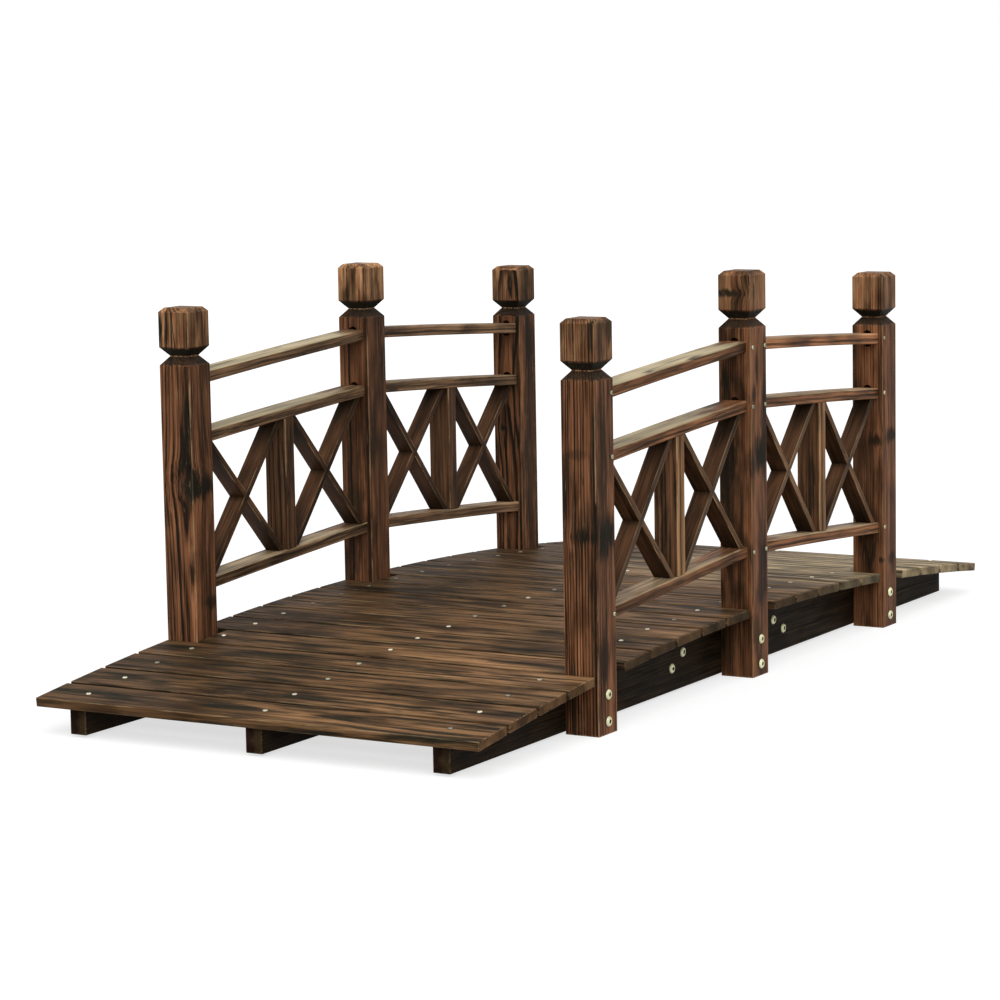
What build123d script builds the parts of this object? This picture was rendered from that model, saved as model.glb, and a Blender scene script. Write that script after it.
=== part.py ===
from build123d import *

import math
import os

# Arched garden footbridge. Millimetres, +Z up, +X along the walkway.
# The origin is on the ground, under the middle of the deck.

# Posts
POST_SIDE = 48.0
POST_BAY = 436.0
WALKWAY_WIDTH = 556.0
MID_POST_HEIGHT = 548.5
END_POST_STEP = 30.5
POST_TOP_CHAMFER = 6.0
POST_EDGE_RADIUS = 1.5
GROOVE_HEIGHT = 25.0
GROOVE_DEPTH = 10.7
GROOVE_BELOW_TOP = 64.0

# Stringers: planks on edge, flat below and arched above, in two halves
STRINGER_LENGTH = 1476.0
STRINGER_THICKNESS = 24.0
STRINGER_ABOVE_GROUND = 3.5
STRINGER_END_TOP = 37.5
STRINGER_CROWN_TOP = 82.0

# Splice boards that join the two halves of each stringer
SPLICE_LENGTH = 386.0
SPLICE_HEIGHT = 56.0
SPLICE_THICKNESS = 18.0
SPLICE_ABOVE_STRINGER_FOOT = 10.0

# Deck slats
SLAT_COUNT = 21
SLATS_PER_BAY = 6
SLAT_END_SETBACK = 2.5
SLAT_WIDTH = 66.0
SLAT_THICKNESS = 12.0
SLAT_EDGE_RADIUS = 1.5
SHORT_SLAT_CLEARANCE = 0.5
DECK_AHEAD_OF_POSTS = 12.0

# Rails, each gently arched between two posts
RAIL_WIDTH = 34.0
RAIL_THICKNESS = 15.0
RAIL_RISE = 1.0
RAIL_EDGE_CHAMFER = 1.2
RAIL_END_DROP = 27.5
RAIL_BELOW_MID_POST_TOP = {"top": 91.5, "middle": 171.0, "bottom": 367.5}

# Mortise and tenon at each rail end
MORTISE_WIDTH = 14.0
MORTISE_DEPTH = 15.0
MORTISE_BEYOND_RAIL = 4.5
TENON_CLEARANCE = 0.5
TENON_SHOULDER = 1.0
TENON_EDGE_RADIUS = 1.5

# Lattice between the middle and bottom rails
BALUSTER_WIDTH = 21.0
CROSS_BAR_THICKNESS = 8.5
CROSS_BAR_DEPTH = 25.0
CROSS_POST_GAP = 4.0
CROSS_BALUSTER_GAP = 0.3

# Worked out from the values above
SIDES = {"left": 1, "right": -1}
POST_X = {
    "near": -DECK_AHEAD_OF_POSTS - POST_BAY,
    "mid": -DECK_AHEAD_OF_POSTS,
    "far": -DECK_AHEAD_OF_POSTS + POST_BAY,
}
POST_HEIGHT = {
    "near": MID_POST_HEIGHT - END_POST_STEP,
    "mid": MID_POST_HEIGHT,
    "far": MID_POST_HEIGHT - END_POST_STEP,
}
BAY_POSTS = {"near": ("near", "mid"), "far": ("mid", "far")}
POST_Y = (WALKWAY_WIDTH + POST_SIDE) / 2
SLAT_PITCH = POST_BAY / SLATS_PER_BAY
SLAT_LENGTH = WALKWAY_WIDTH + 2 * (POST_SIDE - SLAT_END_SETBACK)
STRINGER_Y = (WALKWAY_WIDTH - STRINGER_THICKNESS) / 2
STRINGER_RISE = STRINGER_CROWN_TOP - STRINGER_END_TOP
ARCH_RADIUS = ((STRINGER_LENGTH / 2) ** 2 + STRINGER_RISE**2) / (2 * STRINGER_RISE)
ARCH_CENTRE_Z = STRINGER_CROWN_TOP - ARCH_RADIUS


def arch_height(x):
    """Height of the stringers' arched top edge at x."""
    return ARCH_CENTRE_Z + math.sqrt(ARCH_RADIUS**2 - (x - POST_X["mid"]) ** 2)


def extrude_across(face, y_centre, width):
    """Solid of the given width, centred on y_centre, from a face at y = 0."""
    return Pos(0, y_centre, 0) * extrude(face, width / 2, both=True)


def prism_along_x(section, x_from, x_to, y, z):
    """Solid along X with this section, whose own X and Y lie along Y and Z."""
    plane = Plane((x_from, y, z), x_dir=(0, 1, 0), z_dir=(1, 0, 0))
    return extrude(plane * section, x_to - x_from)


def rail_line(kind, x):
    """Height at x of the straight line between the ends of a rail's top face."""
    crown = MID_POST_HEIGHT - RAIL_BELOW_MID_POST_TOP[kind]
    return crown - RAIL_END_DROP * abs(x - POST_X["mid"]) / POST_BAY


def rail_ends(kind, bay):
    """The two points where a rail's top face meets the posts, as (x, z)."""
    first, second = BAY_POSTS[bay]
    ends = (POST_X[first] + POST_SIDE / 2, POST_X[second] - POST_SIDE / 2)
    return tuple((x, rail_line(kind, x)) for x in ends)


def rail_arc(kind, bay, drop):
    """A rail's arched edge, drop below its top face."""
    (x1, z1), (x2, z2) = rail_ends(kind, bay)
    middle = ((x1 + x2) / 2, 0, (z1 + z2) / 2 + RAIL_RISE - drop)
    return ThreePointArc((x1, 0, z1 - drop), middle, (x2, 0, z2 - drop))


def band(upper, lower):
    """Face in the XZ plane between two arched edges."""
    left = Line(upper @ 0, lower @ 0)
    right = Line(upper @ 1, lower @ 1)
    return make_face([upper, right, lower, left])


def make_post(place, side):
    """Square post with a chamfered top, a V groove round it and its mortises."""
    height = POST_HEIGHT[place]
    post = extrude(Rectangle(POST_SIDE, POST_SIDE), height)
    post = chamfer(post.faces().sort_by(Axis.Z)[-1].edges(), POST_TOP_CHAMFER)
    post = fillet(post.edges().filter_by(Axis.Z), POST_EDGE_RADIUS)
    groove_z = height - GROOVE_BELOW_TOP
    notch = make_face(
        Polyline(
            (POST_SIDE / 2, 0, groove_z - GROOVE_HEIGHT / 2),
            (POST_SIDE / 2 - GROOVE_DEPTH, 0, groove_z),
            (POST_SIDE / 2, 0, groove_z + GROOVE_HEIGHT / 2),
            close=True,
        )
    )
    wedge = extrude(notch, POST_SIDE, both=True)
    for quarter in range(4):
        post -= Rot(0, 0, 90 * quarter) * wedge
    post = Pos(POST_X[place], side * POST_Y, 0) * post
    mortise = SlotOverall(RAIL_THICKNESS + 2 * MORTISE_BEYOND_RAIL, MORTISE_WIDTH, rotation=90)
    for bay, ends in BAY_POSTS.items():
        if place not in ends:
            continue
        end = ends.index(place)
        toward_bay = 1 if end == 0 else -1
        face_x = POST_X[place] + toward_bay * POST_SIDE / 2
        x_from, x_to = sorted((face_x, face_x - toward_bay * MORTISE_DEPTH))
        for kind in RAIL_BELOW_MID_POST_TOP:
            z = rail_ends(kind, bay)[end][1] - RAIL_THICKNESS / 2
            post -= prism_along_x(mortise, x_from, x_to, side * POST_Y, z)
    return post


def make_stringer(half, y):
    """Half of a stringer: flat below, its top edge on the arch."""
    joint_x = POST_X["mid"]
    end_x = joint_x + (STRINGER_LENGTH / 2 if half == "far" else -STRINGER_LENGTH / 2)
    between = (joint_x + end_x) / 2
    top = ThreePointArc(
        (joint_x, 0, STRINGER_CROWN_TOP),
        (between, 0, arch_height(between)),
        (end_x, 0, STRINGER_END_TOP),
    )
    foot = STRINGER_ABOVE_GROUND
    rest = Polyline(top @ 1, (end_x, 0, foot), (joint_x, 0, foot), top @ 0)
    return extrude_across(make_face([top, rest]), y, STRINGER_THICKNESS)


def make_splice(y):
    """Board on the inner side of a stringer, across the joint of its halves."""
    inward = -1 if y > 0 else 1
    offset = inward * (STRINGER_THICKNESS + SPLICE_THICKNESS) / 2
    z = STRINGER_ABOVE_GROUND + SPLICE_ABOVE_STRINGER_FOOT + SPLICE_HEIGHT / 2
    return Pos(POST_X["mid"], y + offset, z) * Box(
        SPLICE_LENGTH, SPLICE_THICKNESS, SPLICE_HEIGHT
    )


def make_slat(from_middle, length):
    """Deck slat, flat on the arch, counted along +X from the middle one."""
    x = from_middle * SLAT_PITCH
    slat = Pos(0, 0, SLAT_THICKNESS / 2) * Box(SLAT_WIDTH, length, SLAT_THICKNESS)
    slat = fillet(slat.edges(), SLAT_EDGE_RADIUS)
    tilt = math.degrees(math.asin((x - POST_X["mid"]) / ARCH_RADIUS))
    return Pos(x, 0, arch_height(x)) * Rot(0, tilt, 0) * slat


def make_rail(kind, bay, side):
    """Arched rail with a tenon at each end."""
    face = band(rail_arc(kind, bay, 0), rail_arc(kind, bay, RAIL_THICKNESS))
    rail = extrude_across(face, side * POST_Y, RAIL_WIDTH)
    ends = rail.edges().filter_by(Axis.Y) + rail.edges().filter_by(Axis.Z)
    rail = chamfer(rail.edges() - ends, RAIL_EDGE_CHAMFER)
    tenon_width = MORTISE_WIDTH - 2 * TENON_CLEARANCE
    tenon_height = RAIL_THICKNESS - 2 * TENON_SHOULDER
    tenon = RectangleRounded(tenon_width, tenon_height, TENON_EDGE_RADIUS)
    for end, toward_post in ((0, -1), (1, 1)):
        shoulder_x, top_z = rail_ends(kind, bay)[end]
        tip_x = shoulder_x + toward_post * (MORTISE_DEPTH - TENON_CLEARANCE)
        x_from, x_to = sorted((shoulder_x, tip_x))
        z = top_z - RAIL_THICKNESS / 2
        rail += prism_along_x(tenon, x_from, x_to, side * POST_Y, z)
    return rail


def bay_centre(bay):
    """X of the middle of a bay."""
    first, second = BAY_POSTS[bay]
    return (POST_X[first] + POST_X[second]) / 2


def lattice_opening(bay):
    """Face between the underside of the middle rail and the bottom rail."""
    return band(rail_arc("middle", bay, RAIL_THICKNESS), rail_arc("bottom", bay, 0))


def make_baluster(bay, side):
    """Upright in the middle of a bay, cut to the two rails."""
    opening = extrude_across(lattice_opening(bay), side * POST_Y, RAIL_WIDTH)
    upright = Box(BALUSTER_WIDTH, RAIL_WIDTH, 2 * MID_POST_HEIGHT)
    return opening & Pos(bay_centre(bay), side * POST_Y, 0) * upright


def bar_face(start, end):
    """Face in the XZ plane of a bar along this line and a little past its ends."""
    (x1, z1), (x2, z2) = start, end
    length = math.hypot(x2 - x1, z2 - z1) + 2 * RAIL_THICKNESS
    angle = math.degrees(math.atan2(z2 - z1, x2 - x1))
    place = Plane.XZ * Pos((x1 + x2) / 2, (z1 + z2) / 2) * Rot(0, 0, angle)
    return place * Rectangle(length, CROSS_BAR_THICKNESS)


def make_cross(bay, side, x1, x2):
    """Two bars halved together, from corner to corner between x1 and x2."""
    low = rail_line("bottom", (x1 + x2) / 2)
    high = rail_line("middle", (x1 + x2) / 2) - RAIL_THICKNESS
    half_run = CROSS_BAR_THICKNESS * math.hypot(high - low, x2 - x1) / (high - low) / 2
    a, b = x1 + half_run, x2 - half_run
    bars = [
        bar_face(
            (start, rail_line("bottom", start)),
            (end, rail_line("middle", end) - RAIL_THICKNESS),
        )
        for start, end in ((a, b), (b, a))
    ]
    cross = extrude_across(bars[0] + bars[1], side * POST_Y, CROSS_BAR_DEPTH)
    opening = extrude_across(lattice_opening(bay), side * POST_Y, RAIL_WIDTH)
    room = Box(x2 - x1, RAIL_WIDTH, 2 * MID_POST_HEIGHT)
    return cross & opening & Pos((x1 + x2) / 2, side * POST_Y, 0) * room


def make_lattice(bay, side):
    """The two crosses of a bay, one on each side of its baluster."""
    (x1, _), (x2, _) = rail_ends("middle", bay)
    from_centre = BALUSTER_WIDTH / 2 + CROSS_BALUSTER_GAP
    return Compound(
        children=[
            make_cross(bay, side, x1 + CROSS_POST_GAP, bay_centre(bay) - from_centre),
            make_cross(bay, side, bay_centre(bay) + from_centre, x2 - CROSS_POST_GAP),
        ]
    )


def make_deck():
    """Slats by node: one short slat between each pair of posts, and the runs."""
    short_length = WALKWAY_WIDTH - 2 * SHORT_SLAT_CLEARANCE
    last = (SLAT_COUNT - 1) // 2
    runs = {
        "near_ramp": range(-last, -SLATS_PER_BAY),
        "near_bay": range(1 - SLATS_PER_BAY, 0),
        "far_bay": range(1, SLATS_PER_BAY),
        "far_ramp": range(SLATS_PER_BAY + 1, last + 1),
    }
    deck = {}
    for run, numbers in runs.items():
        slats = [make_slat(number, SLAT_LENGTH) for number in numbers]
        deck[f"deck_slats_{run}"] = Compound(children=slats)
    for place, number in (("near", -SLATS_PER_BAY), ("mid", 0), ("far", SLATS_PER_BAY)):
        deck[f"short_slat_{place}"] = make_slat(number, short_length)
    return deck


def build():
    """Every piece of the bridge, by node name."""
    pieces = make_deck()
    for side_name, side in SIDES.items():
        for place in POST_X:
            pieces[f"post_{side_name}_{place}"] = make_post(place, side)
        for bay in BAY_POSTS:
            for kind in RAIL_BELOW_MID_POST_TOP:
                pieces[f"{kind}_rail_{side_name}_{bay}"] = make_rail(kind, bay, side)
            pieces[f"baluster_{side_name}_{bay}"] = make_baluster(bay, side)
            pieces[f"lattice_{side_name}_{bay}"] = make_lattice(bay, side)
    for line, y in (("left", STRINGER_Y), ("centre", 0.0), ("right", -STRINGER_Y)):
        for half in BAY_POSTS:
            pieces[f"stringer_{line}_{half}"] = make_stringer(half, y)
        pieces[f"splice_{line}"] = make_splice(y)
    return pieces


os.makedirs("parts", exist_ok=True)
for name, piece in build().items():
    export_step(piece, f"parts/{name}.step")
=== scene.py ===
import math
import random
from itertools import product

import bmesh
import bpy
from bpy.props import FloatProperty, FloatVectorProperty, IntProperty, PointerProperty
from mathutils import Matrix, Vector
from mathutils.bvhtree import BVHTree


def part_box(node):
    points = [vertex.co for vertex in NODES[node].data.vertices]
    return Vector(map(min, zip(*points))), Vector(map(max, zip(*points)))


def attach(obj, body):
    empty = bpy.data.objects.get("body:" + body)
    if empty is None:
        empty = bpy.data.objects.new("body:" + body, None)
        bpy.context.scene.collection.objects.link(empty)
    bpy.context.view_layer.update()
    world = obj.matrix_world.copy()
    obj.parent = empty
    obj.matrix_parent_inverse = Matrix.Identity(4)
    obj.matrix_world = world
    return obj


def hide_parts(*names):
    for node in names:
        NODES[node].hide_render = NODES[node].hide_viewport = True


bl_info = {
    "name": "Torched fir footbridge",
    "version": (1, 0, 0),
    "blender": (4, 5, 0),
    "location": "3D View > Sidebar > Footbridge",
    "description": "Dresses the frame of a small arched garden footbridge",
    "category": "Object",
}

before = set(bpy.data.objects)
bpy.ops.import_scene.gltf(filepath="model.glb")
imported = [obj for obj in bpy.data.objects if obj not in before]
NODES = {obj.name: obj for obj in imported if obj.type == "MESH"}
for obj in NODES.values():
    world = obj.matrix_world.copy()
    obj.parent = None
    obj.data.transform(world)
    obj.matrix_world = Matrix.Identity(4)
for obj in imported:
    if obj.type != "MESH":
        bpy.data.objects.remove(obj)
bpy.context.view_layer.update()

SIDES = {"left": 1, "right": -1}
PLACES = ("near", "mid", "far")
BAYS = ("near", "far")
RAILS = ("top", "middle", "bottom")
STRINGER_LINES = ("left", "centre", "right")
MM = 0.001

# Sizes of the frame's own pieces, in millimetres.
POST_WIDTH = 48.0
GROOVE_DROP = 64.0  # from a post's top to its V groove
RAIL_DEPTH = 15.0
RAIL_BOW = 1.0  # how far a rail's middle rises above a straight line
TENON = 15.0
UPRIGHT_DEPTH = 34.0
BAR_DEPTH = 25.0
SLAT_WIDTH = 66.0
SLAT_DEPTH = 12.0

# The slats are numbered from the middle of the deck: the short ones stand between the posts.
SHORT_SLAT = 6
END_SLAT = 10


# --------------------------------------------------------------------------
# Settings


def colour(name, description, default):
    """A colour, scene linear."""
    return FloatVectorProperty(
        name=name,
        description=description,
        subtype="COLOR",
        size=3,
        min=0.0,
        max=1.0,
        default=default,
    )


def length(name, description, default):
    """A length in metres."""
    return FloatProperty(
        name=name, description=description, default=default, min=0.0, unit="LENGTH", precision=4
    )


def factor(name, description, default, top=1.0):
    """A share or a strength from 0 to top."""
    return FloatProperty(
        name=name, description=description, default=default, min=0.0, max=top, subtype="FACTOR"
    )


def angle(name, description, degrees):
    """An angle, its default in degrees."""
    return FloatProperty(
        name=name, description=description, default=math.radians(degrees), subtype="ANGLE"
    )


class TimberLook:
    """Finish of one kind of timber"""

    early_wood: colour("Early wood", "Soft wood between the ring lines", (0.195, 0.082, 0.037))
    late_wood: colour("Late wood", "Dark ring lines", (0.014, 0.007, 0.004))
    char: colour("Char", "Torched patches", (0.013, 0.011, 0.007))
    # The pale edge colour and the edge rubbing below make pale edges: partly rubbed wood and partly
    # painted highlight where a rounded edge catches the light.
    worn: colour("Worn", "Rubbed edges", (0.42, 0.29, 0.16))
    ring_width: length("Ring width", "Distance between ring lines", 0.0042)
    coarse: factor("Coarseness", "Size of the streaks and the patches", 1.0, 4.0)
    wander: length("Wander", "How far the rings stray from straight", 0.004)
    streaks: factor("Streaks", "Contrast of the fibre streaks", 1.0, 3.0)
    checks: factor("Checks", "How dark the thin drying cracks are", 0.8)
    late_strength: factor("Ring contrast", "How dark the ring lines are", 0.85)
    char_cover: factor("Char cover", "Share of the surface that is torched dark", 0.35)
    smudge: factor("Smudge", "How dark the soft patches of smoke are", 0.6)
    wear: factor("Edge wear", "How much the edges are rubbed", 0.65)
    flecks: factor("Flecks", "How pale the fine scratches are", 0.3)
    roughness: factor("Roughness", "Roughness of the clean wood", 0.5)
    relief: length("Relief", "Height of the brushed grain", 0.0004)
    sheen: factor("Gloss", "Specular level of the wood", 0.05)


class PostLook(TimberLook, bpy.types.PropertyGroup):
    """Finish of the six posts"""

    cap_wood: colour("Cap", "Brushed wood of the posts' heads", (0.29, 0.156, 0.073))
    streaks: factor("Streaks", "Contrast of the fibre streaks", 1.3, 3.0)


class RailLook(TimberLook, bpy.types.PropertyGroup):
    """Finish of the rails"""

    early_wood: colour("Early wood", "Soft wood between the ring lines", (0.212, 0.092, 0.040))
    char_cover: factor("Char cover", "Share of the surface that is torched dark", 0.3)
    wear: factor("Edge wear", "How much the edges are rubbed", 0.75)
    # The rails' top faces are painted paler where light glances off them: painted sheen.
    top_sheen_strength: factor("Pale top", "How pale the rails' top faces are", 1.0)
    left_wood: colour("Left rails", "Soft wood of the left railing's rails", (0.145, 0.082, 0.043))
    top_wood: colour("Top face", "Wood of the rails' top faces", (0.47, 0.385, 0.235))


class LatticeLook(TimberLook, bpy.types.PropertyGroup):
    """Finish of the lattice bars and the uprights"""

    char_cover: factor("Char cover", "Share of the surface that is torched dark", 0.4)
    upright_face: colour("Upright's face", "Wood of their outer faces", (0.31, 0.160, 0.070))
    upright_wood: colour("Upright", "Wood of the uprights' other faces", (0.145, 0.070, 0.034))
    bar_side: colour("Bar side", "Smoked sides of the cross bars", (0.086, 0.040, 0.019))
    rising_face: colour("Rising bar's face", "Outer face of the rising bars", (0.100, 0.058, 0.034))
    falling_face: colour(
        "Falling bar's face", "Outer face of the falling bars", (0.150, 0.080, 0.040)
    )
    worn: colour("Worn", "Rubbed edges", (0.50, 0.33, 0.17))
    flecks: factor("Flecks", "How pale the fine scratches are", 0.1)
    bar_width: length("Bar width", "Width of a cross bar's face", 0.0085)
    ease: length("Eased edge", "Rounding of the bars' edges", 0.0007)


class DeckLook(TimberLook, bpy.types.PropertyGroup):
    """Finish of the deck slats"""

    early_wood: colour("Early wood", "Soft wood between the ring lines", (0.176, 0.094, 0.043))
    late_wood: colour("Late wood", "Dark ring lines", (0.034, 0.019, 0.010))
    char: colour("Char", "Torched patches", (0.014, 0.015, 0.011))
    ring_width: length("Ring width", "Distance between ring lines", 0.0085)
    wander: length("Wander", "How far the rings stray from straight", 0.007)
    coarse: factor("Coarseness", "Size of the streaks and the patches", 1.15, 4.0)
    char_cover: factor("Char cover", "Share of the surface that is torched dark", 0.5)
    late_strength: factor("Ring contrast", "How dark the ring lines are", 0.65)
    smudge: factor("Smudge", "How dark the soft patches of smoke are", 0.7)
    streaks: factor("Streaks", "Contrast of the fibre streaks", 1.1, 3.0)
    # On the slats the pale long edges are partly rubbed wood and partly painted highlight of their
    # rounded edges.
    wear: factor("Edge wear", "How much the edges are rubbed", 0.4)
    # Dark long edges of the slats: partly charred wood, partly painted shade in the gaps between
    # slats.
    gap_char_and_shade: factor("Charred edges", "How dark the long edges of the slats are", 0.6)
    dark_side: factor("Dark side", "Brightness of the wood towards +Y", 0.60)
    light_side: factor("Light side", "Brightness of the wood towards -Y", 1.25, 2.0)
    # Faded: paler colour of the far slats, partly weathered wood and partly painted sheen where the
    # deck is seen at a grazing angle.
    faded: colour("Faded", "Paler wood of the far slats towards -Y", (0.46, 0.35, 0.205))
    sheen: factor("Gloss", "Specular level of the wood", 0.02)


class StringerLook(TimberLook, bpy.types.PropertyGroup):
    """Finish of the stringers and their splice boards"""

    # The stringers' wood is made very dark: charred, and painted shade of the deck above them.
    early_wood: colour("Early wood", "Soft wood between the ring lines", (0.025, 0.015, 0.008))
    late_wood: colour("Late wood", "Dark ring lines", (0.010, 0.007, 0.0045))
    char: colour("Char", "Torched patches", (0.009, 0.0075, 0.005))
    char_cover: factor("Char cover", "Share of the surface that is torched dark", 0.4)
    sheen: factor("Gloss", "Specular level of the wood", 0.02)
    flecks: factor("Flecks", "How pale the fine scratches are", 0.04)
    end_wood: colour("End grain", "Wood of the sawn ends", (0.060, 0.036, 0.017))
    # The darker part of each sawn end is painted shadow.
    end_shadow: colour("Smoked end", "Dark half of the sawn ends", (0.030, 0.014, 0.009))
    wear: factor("Edge wear", "How much the edges are rubbed", 0.15)


class FixingSizes(bpy.types.PropertyGroup):
    """Sizes of the bolts and screws"""

    bolt_head: length("Bolt head", "Diameter of the bolts' heads", 0.013)
    bolt_dome: length("Bolt dome", "Height of the bolts' heads", 0.0030)
    deck_screw_head: length("Deck screw head", "Diameter of the deck screws' heads", 0.0064)
    deck_screw_dome: length("Deck screw dome", "Height of the deck screws' heads", 0.0014)
    rail_screw_head: length("Rail screw head", "Diameter of the rail screws' heads", 0.0056)
    rail_screw_dome: length("Rail screw dome", "Height of the rail screws' heads", 0.0017)
    zinc: colour("Zinc", "Plated steel", (0.92, 0.90, 0.55))
    pale_zinc: colour("Pale zinc", "Steel of the deck screws", (0.80, 0.75, 0.55))
    dull_zinc: colour("Dull zinc", "Steel of the rail screws", (0.55, 0.54, 0.34))
    seed: IntProperty(name="Seed", description="Order of the small offsets", default=7)


class StudioSettings(bpy.types.PropertyGroup):
    """Camera, floor and lamps"""

    lens: FloatProperty(
        name="Lens", description="Focal length on a 36 mm sensor", default=119.66, unit="CAMERA"
    )
    camera_place: FloatVectorProperty(
        name="Camera place",
        description="Where the camera stands",
        subtype="TRANSLATION",
        unit="LENGTH",
        default=(-4.0181, -2.2570, 0.8342),
    )
    pan: angle("Pan", "Turn of the view from +X", 30.24)
    tilt: angle("Tilt", "Downward tilt of the view", 7.558)
    roll: angle("Roll", "Roll of the view", -1.03)
    floor_size: length("Floor size", "Side of the floor", 60.0)
    floor_shade: factor("Floor shade", "How much light the floor gives back", 0.4)
    floor_glow: factor("Floor glow", "Brightness of the floor in the view", 0.68)
    fill: factor("Fill", "Strength of the even light", 0.6, 4.0)
    key: factor("Key", "Strength of the soft key light", 2.1, 10.0)
    key_place: FloatVectorProperty(
        name="Key place",
        description="Where the key light shines from",
        subtype="TRANSLATION",
        unit="LENGTH",
        default=(-2.5, -1.5, 3.4),
    )
    key_softness: angle("Key softness", "Spread of the key light", 70)


# --------------------------------------------------------------------------
# Node trees


def math_method(operation, swapped=False):
    """A method that puts a maths node after a signal and what it is joined with."""

    def method(self, *others):
        values = (*others, self) if swapped else (self, *others)
        return self.graph.math(operation, *values)

    return method


class Signal:
    """The output of a node, which Python's own operators work on as maths nodes."""

    def __init__(self, graph, socket):
        self.graph = graph
        self.socket = socket

    __add__ = math_method("ADD")
    __radd__ = math_method("ADD", swapped=True)
    __sub__ = math_method("SUBTRACT")
    __rsub__ = math_method("SUBTRACT", swapped=True)
    __mul__ = math_method("MULTIPLY")
    __rmul__ = math_method("MULTIPLY", swapped=True)
    __truediv__ = math_method("DIVIDE")
    __rtruediv__ = math_method("DIVIDE", swapped=True)
    __pow__ = math_method("POWER")
    __abs__ = math_method("ABSOLUTE")


class Graph:
    """Short forms for building a node tree."""

    def __init__(self, tree):
        self.tree = tree

    def signals(self, node):
        """The outputs of a node by name."""
        return {socket.name: Signal(self, socket) for socket in node.outputs}

    def feed(self, socket, value):
        """Links a signal to a socket, or sets the socket to a plain value."""
        if isinstance(value, Signal):
            value = value.socket
        if isinstance(value, bpy.types.NodeSocket):
            self.tree.links.new(value, socket)
        elif value is not None:
            socket.default_value = value

    def add(self, kind, inputs=None, **settings):
        """A new node with its inputs fed."""
        node = self.tree.nodes.new(kind)
        node.location = (220 * (len(self.tree.nodes) % 12), -260 * (len(self.tree.nodes) // 12))
        for key, value in settings.items():
            setattr(node, key, value)
        for key, value in (inputs or {}).items():
            self.feed(node.inputs[key], value)
        return node

    def math(self, operation, *values, clamp=False):
        node = self.add("ShaderNodeMath", operation=operation, use_clamp=clamp)
        for socket, value in zip(node.inputs, values):
            self.feed(socket, value)
        return Signal(self, node.outputs[0])

    def vector(self, operation, *values, out="Vector"):
        node = self.add("ShaderNodeVectorMath", operation=operation)
        places = [0, 3] if operation == "SCALE" else [0, 1, 2]
        for place, value in zip(places, values):
            self.feed(node.inputs[place], value)
        return Signal(self, node.outputs[out])

    def step(self, value, low, high, smooth=True):
        """0 up to low, 1 from high on, and a slope between them."""
        node = self.add(
            "ShaderNodeMapRange",
            interpolation_type="SMOOTHSTEP" if smooth else "LINEAR",
            clamp=True,
        )
        self.feed(node.inputs["Value"], value)
        self.feed(node.inputs["From Min"], low)
        self.feed(node.inputs["From Max"], high)
        return Signal(self, node.outputs["Result"])

    def noise(self, vector, scale, detail=2.0, roughness=0.5, out=0):
        """Noise on a vector in millimetres, scale being its size along each axis."""
        stretched = self.vector("MULTIPLY", vector, tuple(1.0 / s for s in scale))
        node = self.add(
            "ShaderNodeTexNoise",
            {"Vector": stretched, "Scale": 1.0, "Detail": detail, "Roughness": roughness},
        )
        return Signal(self, node.outputs[out])

    def mix(self, amount, first, second):
        """Colour between two."""
        node = self.add("ShaderNodeMix", data_type="RGBA", clamp_factor=True)
        self.feed(node.inputs[0], amount)
        self.feed(node.inputs[6], first)
        self.feed(node.inputs[7], second)
        return Signal(self, node.outputs[2])

    def blend(self, amount, first, second):
        """Value between two."""
        node = self.add("ShaderNodeMix", data_type="FLOAT", clamp_factor=True)
        self.feed(node.inputs[0], amount)
        self.feed(node.inputs[2], first)
        self.feed(node.inputs[3], second)
        return Signal(self, node.outputs[0])

    def split(self, vector):
        """Signals of the three parts of a vector or a colour."""
        node = self.add("ShaderNodeSeparateXYZ", {0: vector})
        return [Signal(self, socket) for socket in node.outputs]

    def join(self, x, y, z):
        node = self.add("ShaderNodeCombineXYZ", {0: x, 1: y, 2: z})
        return Signal(self, node.outputs[0])


SOCKET_KINDS = {"v": "NodeSocketVector", "f": "NodeSocketFloat", "c": "NodeSocketColor"}


def shader_group(name, inputs, outputs):
    """A new node group: its graph, the signals of its inputs and the sockets to fill."""
    tree = bpy.data.node_groups.new(name, "ShaderNodeTree")
    for direction, sockets in (("INPUT", inputs), ("OUTPUT", outputs)):
        for label, kind, *default in sockets:
            socket = tree.interface.new_socket(
                label, in_out=direction, socket_type=SOCKET_KINDS[kind]
            )
            if default:
                socket.default_value = default[0]
    graph = Graph(tree)
    given = graph.signals(graph.add("NodeGroupInput"))
    return graph, given, graph.add("NodeGroupOutput").inputs


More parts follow.
